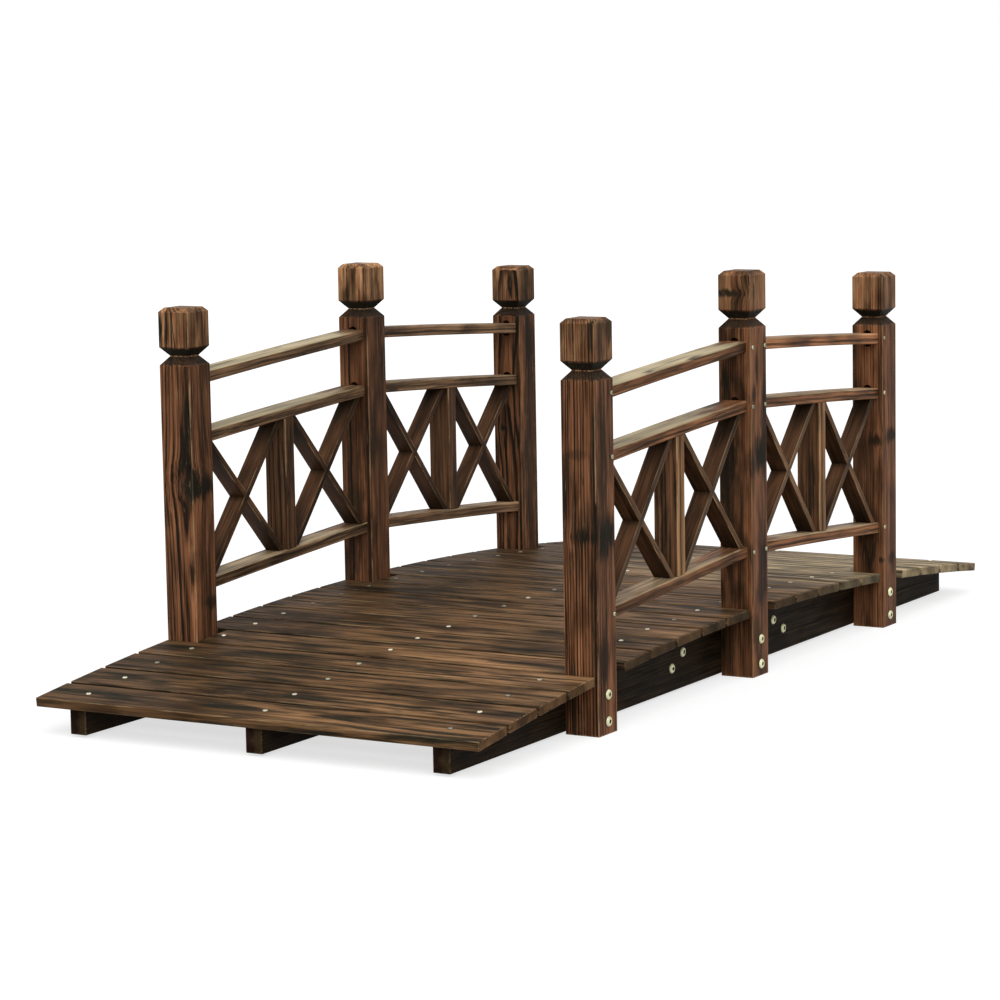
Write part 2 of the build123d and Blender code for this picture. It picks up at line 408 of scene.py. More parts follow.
def build_torched_fir():
    """Ring lines, fibre streaks and torched patches of fir with its grain along X."""
    g, given, out = shader_group(
        "torched_fir",
        [
            ("Place", "v"),
            ("Seed", "f", 0.0),
            ("Pith", "v", (0.0, 60.0, 20.0)),
            ("Ring Width", "f", 4.0),
            ("Coarseness", "f", 1.0),
            ("End", "f", 0.0),
            ("Wander", "f", 6.0),
            ("Late Strength", "f", 0.7),
            ("Streaks", "f", 1.0),
            ("Checks", "f", 0.8),
            ("Char Cover", "f", 0.4),
            ("Smudge", "f", 0.5),
            ("Burn", "f", 0.0),
            ("Wear", "f", 0.0),
            ("Flecks", "f", 0.3),
            ("Early Wood", "c", (0.15, 0.07, 0.035, 1)),
            ("Late Wood", "c", (0.03, 0.015, 0.01, 1)),
            ("Char", "c", (0.014, 0.011, 0.008, 1)),
            ("Worn", "c", (0.36, 0.24, 0.13, 1)),
            ("Roughness", "f", 0.5),
        ],
        [("Color", "c"), ("Roughness", "f"), ("Height", "f")],
    )
    shift = g.vector("SCALE", (137.0, 59.3, 83.1), given["Seed"])
    own = g.vector("ADD", g.vector("SCALE", given["Place"], 1.0 / given["Coarseness"]), shift)
    fibre = g.noise(own, (110, 2.6, 2.6), 3.0, 0.6)
    late = late_wood(g, given, own)
    burnt = torched(g, given, own, late, fibre)
    wood = g.mix(late * given["Late Strength"], given["Early Wood"], given["Late Wood"])
    wood = g.vector("SCALE", wood, brightness(g, given, own, fibre))
    wood = g.mix(g.math("MAXIMUM", burnt, cracks(g, given, own)), wood, given["Char"])
    wood = g.mix(pale_edges_and_flecks(g, given, own), wood, given["Worn"])
    g.feed(out["Color"], wood)
    g.feed(out["Roughness"], given["Roughness"] + burnt * 0.15 + (fibre - 0.5) * 0.25)
    hair = g.noise(own, (45, 0.7, 0.7), 1.0)
    g.feed(out["Height"], late * 0.55 + fibre * 0.5 + hair * 0.25)
    return g.tree


def late_wood(g, given, own):
    """1 in the dark wood at the end of each year's ring, by distance from the pith."""
    middle = (0.5, 0.5, 0.5)
    sway = g.vector("SUBTRACT", g.noise(own, (330, 90, 90), 1.0, out=1), middle)
    sway = g.vector("SCALE", sway, given["Wander"] * 4.0)
    ripple = g.vector("SUBTRACT", g.noise(own, (90, 14, 14), 2.0, out=1), middle)
    ripple = g.vector("SCALE", ripple, given["Wander"] * 0.45)
    from_pith = g.vector("SUBTRACT", given["Place"], given["Pith"])
    from_pith = g.vector("ADD", from_pith, g.vector("ADD", sway, ripple))
    radius = g.vector("LENGTH", g.vector("MULTIPLY", from_pith, (0, 1, 1)), out="Value")
    age = radius / given["Ring Width"]
    season = g.noise(g.join(age * 8.0, given["Seed"], 0.0), (20, 1, 1), 1.0)
    age = age + season * 1.8
    phase = g.math("FRACT", age)
    late = g.step(phase, 0.38, 0.84) * (1.0 - g.step(phase, 0.9, 1.0))
    year = g.add(
        "ShaderNodeTexWhiteNoise",
        {"Vector": g.join(g.math("FLOOR", age), given["Seed"], 0.0)},
        noise_dimensions="3D",
    ).outputs["Value"]
    late = late * g.blend(year, 0.25, 1.0)
    faded = g.step(g.noise(own, (160, 12, 12), 1.0), 0.36, 0.56)
    late = late * g.blend(faded, 0.5, 1.0)
    return late * (1.0 - given["End"] * 0.7)


def torched(g, given, own, late, fibre):
    """How far the wood is burnt black: the flame catches along the rings and fibres."""
    flame = g.noise(own, (95, 13, 13), 4.0, 0.6)
    drive = flame + (late - 0.35) * 0.18 + (fibre - 0.5) * 0.35
    edge = 0.78 - given["Char Cover"] * 0.45 + given["End"] * 0.12
    charred = g.step(drive, edge - 0.13, edge + 0.09)
    return g.math("MAXIMUM", charred * 0.88, given["Burn"], clamp=True)


def cracks(g, given, own):
    """Thin drying cracks along the grain."""
    seam = abs(g.noise(own, (420, 24, 24), 1.0) - 0.5)
    here = g.step(g.noise(own, (140, 40, 40), 1.0), 0.50, 0.62)
    return (1.0 - g.step(seam, 0.005, 0.016)) * here * given["Checks"]


def brightness(g, given, own, fibre):
    """Streaks of the fibres, under soft patches of smoke."""
    band = g.noise(own, (190, 8, 8), 2.0, 0.5)
    thread = g.noise(own, (60, 1.5, 1.5), 2.0, 0.6)
    tone = g.noise(own, (150, 22, 22), 1.0)
    cloud = g.noise(own, (75, 30, 30), 1.5, 0.45)
    light = fibre - 0.5 + (band - 0.5) * 1.3 + (thread - 0.5) * 1.1
    along = 1.0 - given["End"] * 0.8
    light = light * (given["Streaks"] * 1.7 * along) + (tone - 0.5) * 1.5
    smoke = g.step(cloud, 0.44, 0.68) * given["Smudge"]
    bright = g.math("MAXIMUM", 1.0 + light, 0.12) * (1.0 - smoke * 0.78)
    return bright * (1.0 - given["End"] * 0.3)


def pale_edges_and_flecks(g, given, own):
    """Pale wood on the edges, partly rubbed bare and partly painted highlight, and in fine
    scratches.
    """
    rub = g.noise(own, (60, 4, 4), 4.0, 0.62)
    worn = given["Wear"] * g.step(rub, 0.42, 0.6) * (1.0 - given["Burn"] * 0.85)
    fleck = g.step(g.noise(own, (34, 1.1, 1.1), 2.0, 0.6), 0.60, 0.72)
    fleck = fleck * g.step(g.noise(own, (120, 20, 20), 1.0), 0.46, 0.6)
    return g.math("MAXIMUM", worn, fleck * given["Flecks"])


def build_scorch():
    """Darkens the wood round a knot or a scorched spot, and pushes the grain aside there."""
    g, given, out = shader_group(
        "scorch",
        [
            ("Place", "v"),
            ("Burn", "f", 0.0),
            ("Centre", "v"),
            ("Reach", "v", (10.0, 10.0, 10.0)),
            ("Dark", "f", 1.0),
            ("Push", "f", 0.0),
        ],
        [("Place", "v"), ("Burn", "f")],
    )
    away = g.vector("SUBTRACT", given["Place"], given["Centre"])
    wobble = g.noise(given["Place"], (30, 8, 8), 3.0, 0.6, out=1)
    wobble = g.vector("SUBTRACT", wobble, (0.5, 0.5, 0.5))
    spread = g.vector("DIVIDE", away, given["Reach"])
    spread = g.vector("ADD", spread, g.vector("SCALE", wobble, 1.5))
    ratio = g.vector("LENGTH", spread, out="Value")
    fibrous = g.noise(given["Place"], (50, 2.2, 2.2), 2.0) - 0.5
    ratio = ratio + fibrous
    near = given["Push"] / (0.4 + ratio ** 2.0)
    shift = g.vector("SCALE", g.vector("MULTIPLY", away, (0, -1, -1)), near)
    g.feed(out["Place"], g.vector("ADD", given["Place"], shift))
    heart = (1.0 - g.step(ratio, 0.4, 1.25)) * given["Dark"]
    rest = 1.0 - given["Burn"]
    g.feed(out["Burn"], given["Burn"] + rest * heart)
    return g.tree


def build_arris():
    """How near a point is to an edge of a piece with these half sizes, 1 on the edge."""
    g, given, out = shader_group(
        "arris",
        [("Place", "v"), ("Half Size", "v"), ("Width", "f", 2.0)],
        [("Edge", "f"), ("End", "f")],
    )
    inset = g.vector("SUBTRACT", g.vector("ABSOLUTE", given["Place"]), given["Half Size"])
    start = given["Width"] * -1.0
    a, b, c = (g.step(axis, start, 0.0, smooth=False) for axis in g.split(inset))
    edge = g.math("MAXIMUM", g.math("MINIMUM", a, b), g.math("MINIMUM", b, c))
    edge = g.math("MAXIMUM", edge, g.math("MINIMUM", a, c))
    g.feed(out["Edge"], g.step(edge, 0.1, 0.6))
    g.feed(out["End"], g.step(g.split(inset)[0], -0.4, -0.1))
    return g.tree


def build_slat_place():
    """Turns a place on the deck into a place on its own slat, and gives the slat's number."""
    g, given, out = shader_group(
        "slat_place",
        [("Place", "v"), ("Pitch", "f", 72.0), ("Arch Radius", "f", 6000.0), ("Crest", "f", 0.0)],
        [("Place", "v"), ("Number", "f")],
    )
    x, y, z = g.split(given["Place"])
    number = g.math("ROUND", x / given["Pitch"])
    within = x - number * given["Pitch"]
    centre = number * given["Pitch"] - given["Crest"]
    drop = centre ** 2.0 / (given["Arch Radius"] * 2.0)
    lean = within * (centre / given["Arch Radius"])
    height = z + drop + lean
    g.feed(out["Place"], g.join(y, within * -1.0, height))
    g.feed(out["Number"], number)
    return g.tree


EFFECTS = {
    "torched_fir": build_torched_fir,
    "scorch": build_scorch,
    "arris": build_arris,
    "slat_place": build_slat_place,
}
BUILT = {}


def use(g, name, inputs):
    """Places a shared effect in a material, and gives its outputs by name."""
    if name not in BUILT:
        BUILT[name] = EFFECTS[name]()
    node = g.add("ShaderNodeGroup", node_tree=BUILT[name])
    for key, value in inputs.items():
        g.feed(node.inputs[key], value)
    return g.signals(node)


def opaque(rgb, tone=1.0):
    """A colour without transparency, lighter or darker by a factor."""
    return (*(part * tone for part in rgb), 1.0)


def new_material(name):
    """A new material, with its graph and its shader."""
    material = bpy.data.materials.new(name)
    material.use_nodes = True
    material.node_tree.nodes.clear()
    g = Graph(material.node_tree)
    shader = g.add("ShaderNodeBsdfPrincipled")
    g.add("ShaderNodeOutputMaterial", {"Surface": shader.outputs[0]})
    return material, g, shader


def piece_place(g, centre, turn):
    """Place on the piece in millimetres, its grain along X and its centre at 0."""
    where = g.add("ShaderNodeTexCoord").outputs["Object"]
    mapping = g.add("ShaderNodeMapping", {"Vector": where}, vector_type="TEXTURE")
    mapping.inputs["Location"].default_value = centre
    mapping.inputs["Rotation"].default_value = turn
    mapping.inputs["Scale"].default_value = (MM, MM, MM)
    return Signal(g, mapping.outputs[0])


def frame_place(g):
    """Place in the frame, in millimetres."""
    where = g.add("ShaderNodeTexCoord").outputs["Object"]
    return g.vector("SCALE", where, 1 / MM)


def scorched_spot(centre, reach, dark, push=0.0):
    """Inputs of one scorched spot: push is how far it bends the grain round it."""
    return {"Centre": centre, "Reach": reach, "Dark": dark, "Push": push}


def finish_wood(
    g, shader, look, place, seed, own,
    marks=(), burn=0.0, half=None, rubbed=None, edge_width=2.2, edge_wear=1.0,
):
    """Torched fir on a place in millimetres, with its scorched spots, and pale edges that are
    partly rubbed wood and partly painted highlight.

    own holds what differs on this piece from the look, half its half sizes by axis.
    """
    bent = place
    for mark in marks:
        spot = use(g, "scorch", {"Place": bent, "Burn": burn, **mark})
        bent, burn = spot["Place"], spot["Burn"]
    wear = end = 0.0
    if half is not None:
        edge = use(g, "arris", {"Place": place, "Half Size": half, "Width": edge_width})
        wear = edge["Edge"] * (look.wear * edge_wear)
        end = edge["End"]
    if rubbed is not None:
        wear = g.math("MAXIMUM", wear, rubbed * 0.8)
    wood = use(
        g,
        "torched_fir",
        {
            "Place": bent,
            "Seed": seed,
            "Ring Width": look.ring_width / MM,
            "Coarseness": look.coarse,
            "End": end,
            "Wander": look.wander / MM,
            "Late Strength": look.late_strength,
            "Streaks": look.streaks,
            "Checks": look.checks,
            "Char Cover": look.char_cover,
            "Smudge": look.smudge,
            "Burn": burn,
            "Wear": wear,
            "Flecks": look.flecks,
            "Early Wood": opaque(look.early_wood),
            "Late Wood": opaque(look.late_wood),
            "Char": opaque(look.char),
            "Worn": opaque(look.worn),
            "Roughness": look.roughness,
            **own,
        },
    )
    g.feed(shader.inputs["Base Color"], wood["Color"])
    g.feed(shader.inputs["Roughness"], wood["Roughness"])
    shader.inputs["Specular IOR Level"].default_value = look.sheen
    bump = g.add("ShaderNodeBump", {"Height": wood["Height"]})
    bump.inputs["Strength"].default_value = 0.6
    bump.inputs["Distance"].default_value = look.relief
    g.feed(shader.inputs["Normal"], bump.outputs[0])


def dress(name, material):
    """Gives a CAD node this material."""
    node = NODES[name]
    node.data.materials.clear()
    node.data.materials.append(material)


def box_centre(name):
    """Middle of a CAD node's box."""
    low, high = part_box(name)
    return (Vector(low) + Vector(high)) / 2


def box_size(name):
    """Sizes of a CAD node's box, in metres."""
    low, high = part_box(name)
    return Vector(high) - Vector(low)


# --------------------------------------------------------------------------
# Meshes


def new_piece(name, mesh, materials):
    """A finished piece at the origin that rides on the bridge."""
    mesh.name = name
    finishes = [face.material_index for face in mesh.polygons]
    mesh.materials.clear()
    for material in materials:
        mesh.materials.append(material)
    for face, finish in zip(mesh.polygons, finishes):
        face.material_index = finish
        face.use_smooth = False
    piece = bpy.data.objects.new(name, mesh)
    bpy.context.scene.collection.objects.link(piece)
    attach(piece, "root")
    return piece


def closed_mesh(bm, name):
    """Mesh of a closed bm with its faces turned outwards."""
    bmesh.ops.recalc_face_normals(bm, faces=bm.faces)
    mesh = bpy.data.meshes.new(name)
    bm.to_mesh(mesh)
    bm.free()
    return mesh


def is_sharp(edge):
    """Whether an edge turns by more than 30 degrees."""
    return len(edge.link_faces) == 2 and edge.calc_face_angle() > math.radians(30)


def eased_copy(node, width):
    """Merged copy of a CAD node's mesh with its sharp edges eased."""
    bm = bmesh.new()
    bm.from_mesh(NODES[node].data)
    bmesh.ops.remove_doubles(bm, verts=bm.verts, dist=1e-6)
    bmesh.ops.dissolve_limit(bm, angle_limit=math.radians(0.5), verts=bm.verts, edges=bm.edges)
    sharp = [edge for edge in bm.edges if is_sharp(edge)]
    bmesh.ops.bevel(bm, geom=sharp, offset=width, segments=2, profile=0.5, affect="EDGES")
    return closed_mesh(bm, f"{node}_eased")


def clip_polygon(points, normal, offset):
    """Part of a polygon where normal . p <= offset."""
    kept = []
    for a, b in zip(points, points[1:] + points[:1]):
        a_past, b_past = normal.dot(a) - offset, normal.dot(b) - offset
        if a_past <= 0:
            kept.append(a)
        if a_past * b_past < 0:
            kept.append(a + (b - a) * (a_past / (a_past - b_past)))
    return kept


# --------------------------------------------------------------------------
# Operators


def look_of(context, part):
    """Settings of one kind of timber."""
    return getattr(context.scene.footbridge, part)


# Turns the grain's X axis upright.
UPRIGHT = (0.0, math.radians(-90), 0.0)


def groove_marks(g, place, height):
    """Scorching of a post's V groove, a little lighter on its lower slope as painted sheen, and the
    light line round its waist.
    """
    above = g.split(place)[0] - (height / 2 - GROOVE_DROP)
    away = abs(above)
    ragged = g.noise(place, (9, 5, 5), 2.0)
    reach = away + (ragged - 0.5) * 5.0
    burn = 1.0 - g.step(reach, 9.0, 13.5)
    # Painted sheen: the lower slope, which faces up, is burnt a little less.
    burn = burn * g.blend(g.step(above, -1.5, 0.5), 0.86, 1.0)
    waist = 1.0 - g.step(away, 0.4, 1.2)
    return burn * (1.0 - waist), waist


TAN_EDGE = (0.33, 0.20, 0.105, 1)

# Of each post: how rubbed its edges are, how much of its ring lines show on the side faces,
# how bright its cap is, and how its grain differs from the common look.
POST_GRAIN = {
    "post_right_near": (
        1.0, 0.7, 0.95,
        {
            "Ring Width": 3.6, "Wander": 1.3, "Late Strength": 1.5, "Smudge": 0.6,
            "Pith": (0, -62, -10), "Worn": (0.43, 0.26, 0.14, 1),
        },
    ),
    "post_left_near": (
        1.1, 0.4, 1.0,
        {
            "Ring Width": 3.4, "Wander": 1.5, "Late Strength": 1.8, "Smudge": 0.4,
            "Pith": (0, -14, -6),
        },
    ),
    "post_left_mid": (
        0.7, 0.4, 2.0,
        {
            "Ring Width": 6.0, "Wander": 2.0, "Late Strength": 0.6, "Smudge": 0.8,
            "Pith": (0, 64, -8), "Streaks": 1.0, "Char Cover": 0.15,
        },
    ),
    "post_left_far": (
        0.45, 0.1, 1.1,
        {
            "Ring Width": 6.0, "Wander": 9.0, "Late Strength": 2.2, "Smudge": 0.4,
            "Pith": (0, -4, 58),
        },
    ),
    "post_right_mid": (
        1.0, 0.6, 0.85,
        {
            "Ring Width": 4.2, "Wander": 2.5, "Late Strength": 0.35, "Smudge": 1.0,
            "Pith": (0, 58, 12), "Streaks": 1.0, "Char Cover": 0.3, "Worn": TAN_EDGE,
        },
    ),
    "post_right_far": (
        0.8, 0.6, 0.95,
        {
            "Ring Width": 3.4, "Wander": 2.0, "Late Strength": 0.6, "Smudge": 0.7,
            "Pith": (0, -66, -6), "Streaks": 1.1, "Char Cover": 0.3, "Worn": TAN_EDGE,
        },
    ),
}

# Knots and scorched spots of each post: height above the floor, then towards +Y and towards
# -X from its middle, the reach along those three, all in millimetres; darkness and push.
POST_MARKS = {
    "post_right_near": (
        (250, -7, 24, 13, 19, 12, 1.0, 0.1),
        (268, -10, 24, 34, 13, 10, 0.55, 0),
        (300, 23, 24, 70, 7, 12, 0.8, 0),
        (351, 4, 24, 8, 18, 8, 0.5, 0),
        (330, -24, 10, 110, 8, 12, 0.65, 0),
        (248, -24, -2, 32, 8, 30, 1.0, 0),
        (95, -24, 10, 34, 8, 14, 0.85, 0),
        (505, -24, -14, 28, 9, 12, 0.85, 0),
        (490, -24, 8, 34, 8, 14, 0.6, 0),
        (357, -21.5, 24, 62, 1.8, 6, 0.95, 0),
        (125, -20.8, 24, 105, 2.4, 6, 1.0, 0),
        (330, 16, 24, 40, 9, 8, 0.5, 0),
        (505, -21, 24, 34, 2.2, 8, 0.85, 0),
        (320, -18, 24, 90, 4, 6, 0.5, 0),
        (270, -24, 4, 250, 8, 8, 0.5, 0),
    ),
    "post_left_near": (
        (285, -20, 22, 22, 17, 18, 1.0, 0.7),
        (281, -24, 4, 19, 8, 36, 1.0, 0),
        (368, -17.5, 24, 30, 3.2, 8, 0.95, 0.4),
        (325, -12.0, 24, 46, 1.2, 6, 0.8, 0),
        (166, -19, 24, 30, 5, 8, 0.95, 0.6),
        (250, -24, -4, 330, 9, 28, 0.28, 0),
        (248, 18, 24, 26, 11, 8, 0.7, 0),
        (488, 21, 24, 34, 5, 9, 1.0, 0.3),
        (490, 11, 24, 36, 2.4, 9, 1.0, 0.3),
        (480, 3, 24, 20, 2.0, 9, 0.9, 0.2),
        (124, -24, -12, 11, 8, 20, 0.8, 0),
        (440, -24, -10, 40, 8, 14, 0.55, 0),
    ),
    "post_left_mid": (
        (200, 3, 24, 130, 22, 9, 0.65, 0),
        (300, -24, 0, 330, 8, 24, 0.42, 0),
        (120, 16, 24, 90, 12, 10, 0.5, 0),
        (300, 22, 24, 60, 7, 10, 0.6, 0),
        (270, 8, 24, 420, 2.4, 8, 1.0, 0),
        (270, -21, 24, 300, 1.8, 8, 0.85, 0),
    ),
    "post_left_far": (
        (268, 7.5, 24, 7, 5.5, 8, 1.0, 0.5),
        (250, -24, -4, 330, 9, 26, 0.72, 0),
        (486, -9, 20, 26, 5, 16, 0.85, 0.3),
        (255, -18, 24, 26, 3, 8, 0.9, 0.3),
        (350, -18, 24, 24, 3, 8, 0.85, 0.3),
        (300, -12, 24, 170, 2.2, 8, 0.9, 0),
        (150, -14, 24, 60, 3.2, 8, 0.9, 0.2),
        (490, -24, 0, 40, 8, 30, 0.5, 0),
    ),
    "post_right_mid": (
        (519, 10, 24, 6, 21, 9, 0.95, 0.4),
        (310, 17, 24, 150, 21, 13, 0.92, 0),
        (230, 2, 24, 180, 22, 9, 0.5, 0),
        (48, 14, 24, 46, 13, 10, 0.7, 0),
        (62, -24, 12, 44, 8, 10, 0.7, 0),
        (302, -24, -6, 32, 9, 24, 1.0, 0),
        (383, -24, 15, 15, 8, 10, 0.85, 0),
        (150, 10, 24, 40, 5, 8, 0.6, 0),
        (420, -24, -10, 40, 7, 12, 0.4, 0),
    ),
    "post_right_far": (
        (276, -12, 24, 10, 11, 8, 0.85, 0.5),
        (281, -24, -4, 13, 8, 24, 0.9, 0),
        (250, -24, -2, 260, 9, 26, 0.2, 0),
        (210, 3, 24, 160, 22, 9, 0.5, 0),
        (100, -21, 22, 5, 5, 5, 0.9, 0.4),
        (100, -24, -6, 12, 6, 14, 0.8, 0),
        (420, 22, 24, 60, 7, 10, 0.6, 0),
    ),
}


class FOOTBRIDGE_OT_posts(bpy.types.Operator):
    """Finish the six posts"""

    bl_idname = "footbridge.posts"
    bl_label = "Posts"

    def execute(self, context):
        look = look_of(context, "posts")
        for number, (side, place) in enumerate(product(SIDES, PLACES)):
            name = f"post_{side}_{place}"
            edge_wear, side_lines, cap_tone, grain = POST_GRAIN[name]
            size = box_size(name) / MM
            top = size.z / 2
            material, g, shader = new_material(f"wood_{name}")
            spot = piece_place(g, box_centre(name), UPRIGHT)
            marks = [
                scorched_spot((height - top, left, front), reach, dark, push)
                for height, left, front, *reach, dark, push in POST_MARKS[name]
            ]
            burn, waist = groove_marks(g, spot, size.z)
            brushed = g.step(g.split(spot)[0], top - 62.0, top - 50.0)
            brushed = brushed * g.step(g.noise(spot, (40, 12, 12), 2.0), 0.3, 0.6)
            cap = opaque(look.cap_wood, cap_tone)
            on_side = g.step(abs(g.split(spot)[1]), POST_WIDTH / 2 - 1.5, POST_WIDTH / 2 - 0.2)
            rings = grain["Late Strength"]
            rings = g.blend(on_side, rings, rings * side_lines)
            own = {
                **grain,
                "Early Wood": g.mix(brushed * 0.7, opaque(look.early_wood), cap),
                "Late Strength": rings * (1.0 - brushed * 0.6),
            }
            finish_wood(
                g, shader, look, spot, 3.0 + number * 1.7, own,
                marks=marks, burn=burn, half=(top, size.y / 2, size.x / 2), rubbed=waist,
                edge_wear=edge_wear,
            )
            dress(name, material)
        return {"FINISHED"}


# How light each rail's sides are, how strong the painted sheen on its top face is and how much its
# edges are rubbed.
RAIL_TONES = {
    "top_rail_left_near": (1.4, 1.0, 1.0),
    "top_rail_left_far": (1.5, 0.05, 0.3),
    "top_rail_right_near": (1.0, 1.0, 1.0),
    "top_rail_right_far": (1.5, 0.3, 0.35),
    "middle_rail_left_near": (1.5, 0.95, 1.0),
    "middle_rail_left_far": (1.4, 0.2, 0.7),
    "middle_rail_right_near": (1.35, 0.95, 1.0),
    "middle_rail_right_far": (1.4, 0.55, 0.7),
    "bottom_rail_left_near": (1.45, 0.52, 1.0),
    "bottom_rail_left_far": (1.5, 0.25, 1.0),
    "bottom_rail_right_near": (1.1, 0.52, 1.0),
    "bottom_rail_right_far": (1.0, 0.52, 1.0),
}


class FOOTBRIDGE_OT_rails(bpy.types.Operator):
    """Finish the rails"""

    bl_idname = "footbridge.rails"
    bl_label = "Rails"

    def execute(self, context):
        look = look_of(context, "rails")
        for number, (kind, side, bay) in enumerate(product(RAILS, SIDES, BAYS), 1):
            name = f"{kind}_rail_{side}_{bay}"
            light, top_sheen, rubbed = RAIL_TONES[name]
            size = box_size(name) / MM
            slope = math.atan2(size.z - (RAIL_DEPTH + RAIL_BOW), size.x - 2 * TENON)
            turn = (0.0, -slope if bay == "near" else slope, 0.0)
            material, g, shader = new_material(f"wood_{name}")
            spot = piece_place(g, box_centre(name), turn)
            up = g.step(g.split(spot)[2], RAIL_DEPTH / 2 - 1.9, RAIL_DEPTH / 2 - 0.5)
            # Painted sheen: the top face turns pale, clean and less charred where light glances off
            # it.
            pale = up * self.top_sheen_patches(g, spot, number, bay, size.x / 2)
            pale = pale * (look.top_sheen_strength * top_sheen)
            side_wood = look.left_wood if side == "left" else look.early_wood
            own = {
                "Pith": (0, 30 + number, 70),
                "Early Wood": g.mix(pale, opaque(side_wood, light), opaque(look.top_wood)),
                "Char Cover": look.char_cover - pale * 0.45,
                "Late Strength": look.late_strength - pale * 0.6,
                "Streaks": 1.1 - pale * 0.75,
                "Smudge": look.smudge - pale * 0.4,
            }
            finish_wood(
                g, shader, look, spot, 20.0 + number * 2.3, own,
                burn=self.side_vein(g, spot, up) * 0.55,
                half=(size.x / 2, size.y / 2, RAIL_DEPTH / 2),
                edge_width=1.8, edge_wear=rubbed,
            )
            dress(name, material)
        return {"FINISHED"}

    @staticmethod
    def top_sheen_patches(g, spot, number, bay, half_length):
        """Ragged patches of painted sheen on a rail's top face, fewer towards one end."""
        patch = g.noise(g.vector("ADD", spot, (61.0 * number, 0, 0)), (110, 26, 26), 2.0)
        slant = (g.split(spot)[0] / half_length) ** 3.0
        slant = slant * (0.5 if bay == "near" else -0.35)
        return g.step(patch - slant, 0.24, 0.46)

    @staticmethod
    def side_vein(g, spot, up):
        """A wavering dark line along a rail's side faces."""
        level = g.split(spot)[2] + g.noise(spot, (90, 9, 9), 2.0) * 9.0
        vein = 1.0 - g.step(abs(level - 3.5), 0.4, 2.4)
        return vein * (1.0 - up)


def prism(points, y_low, y_high):
    """Closed mesh between two copies of an outline in the XZ plane."""
    bm = bmesh.new()
    front = [bm.verts.new((p.x, y_low, p.y)) for p in points]
    back = [bm.verts.new((p.x, y_high, p.y)) for p in points]
    bm.faces.new(front)
    bm.faces.new(list(reversed(back)))
    for i in range(len(points)):
        j = (i + 1) % len(points)
        bm.faces.new((front[j], front[i], back[i], back[j]))
    return closed_mesh(bm, "prism")


def notched_bar(outline, notch, y_low, y_high, notch_low, notch_high, ease):
    """Bar with a halving cut into one face and its edges eased, as a mesh."""
    objects = []
    for points, low, high in ((outline, y_low, y_high), (notch, notch_low, notch_high)):
        thing = bpy.data.objects.new("work", prism(points, low, high))
        bpy.context.scene.collection.objects.link(thing)
        objects.append(thing)
    bar, cutter = objects
    cut = bar.modifiers.new("cut", "BOOLEAN")
    cut.operation, cut.object, cut.solver = "DIFFERENCE", cutter, "EXACT"
    round_over = bar.modifiers.new("ease", "BEVEL")
    round_over.width, round_over.segments = ease, 2
    round_over.limit_method, round_over.angle_limit = "ANGLE", math.radians(30)
    graph = bpy.context.evaluated_depsgraph_get()
    mesh = bpy.data.meshes.new_from_object(bar.evaluated_get(graph))
    for thing in objects:
        bpy.data.objects.remove(thing)
    return mesh


def strip(start, end, width, overrun):
    """Outline of a bar along a line in the XZ plane."""
    along = (end - start).normalized()
    side = Vector((-along.y, along.x)) * width / 2
    first, last = start - along * overrun, end + along * overrun
    return [first - side, last - side, last + side, first + side]


# Millimetres between the bars in the grain's own space, so that no two look alike.
BAR_SPACING = 900.0
BAR_OVERRUN = 30 * MM
HALVING_SLACK = 0.15 * MM
GAP_TO_RAIL = 0.25 * MM
GAP_TO_UPRIGHT = 0.3 * MM


def trimmed(outline, x1, x2, low_line, high_line):
    """Outline of a bar cut off at the two rails and at both ends of its field."""
    for height_at, sign in ((low_line, -1), (high_line, 1)):
        here, there = Vector((x1, height_at(x1))), Vector((x2, height_at(x2)))
        run = (there - here).normalized()
        normal = Vector((-run.y, run.x)) * sign
        outline = clip_polygon(outline, normal, normal.dot(here) + GAP_TO_RAIL)
    outline = clip_polygon(outline, Vector((1, 0)), x2)
    return clip_polygon(outline, Vector((-1, 0)), -x1)


def add_bar(bm, layer, mesh, line, middle, outward, start, finish):
    """Adds a bar to bm, with the place of each point in the bar's own grain."""
    along = (line[1] - line[0]).normalized()
    across = Vector((-along.y, along.x))
    centre = (line[0] + line[1]) / 2
    known = {}
    for vert in mesh.vertices:
        new = bm.verts.new(vert.co)
        away = Vector((vert.co.x, vert.co.z)) - centre
        new[layer] = Vector(
            (
                away.dot(along) / MM + start,
                (vert.co.y - middle) * outward / MM,
                away.dot(across) / MM,
            )
        )
        known[vert.index] = new
    for face in mesh.polygons:
        bm.faces.new([known[i] for i in face.vertices]).material_index = finish
    bpy.data.meshes.remove(mesh)


def halved_cross(bm, layer, x1, x2, low_line, high_line, y_low, y_high, sizes, seed, outward):
    """Two halved bars from corner to corner, added to bm with their own grain and finish."""
    width = sizes.bar_width
    bottom, top = low_line((x1 + x2) / 2), high_line((x1 + x2) / 2)
    half_run = width * math.hypot(top - bottom, x2 - x1) / (top - bottom) / 2
    a, b = x1 + half_run, x2 - half_run
    rising = Vector((a, low_line(a))), Vector((b, high_line(b)))
    falling = Vector((b, low_line(b))), Vector((a, high_line(a)))
    middle = (y_low + y_high) / 2
    halves = (
        (rising, falling, middle, y_high + MM),
        (falling, rising, y_low - MM, middle + HALVING_SLACK),
    )
    for finish, (line, other, cut_from, cut_to) in enumerate(halves):
        outline = trimmed(strip(*line, width, BAR_OVERRUN), x1, x2, low_line, high_line)
        notch = strip(*other, width + 2 * HALVING_SLACK, BAR_OVERRUN)
        mesh = notched_bar(outline, notch, y_low, y_high, cut_from, cut_to, sizes.ease)
        start = BAR_SPACING * (seed + finish)
        add_bar(bm, layer, mesh, line, middle, outward, start, finish)


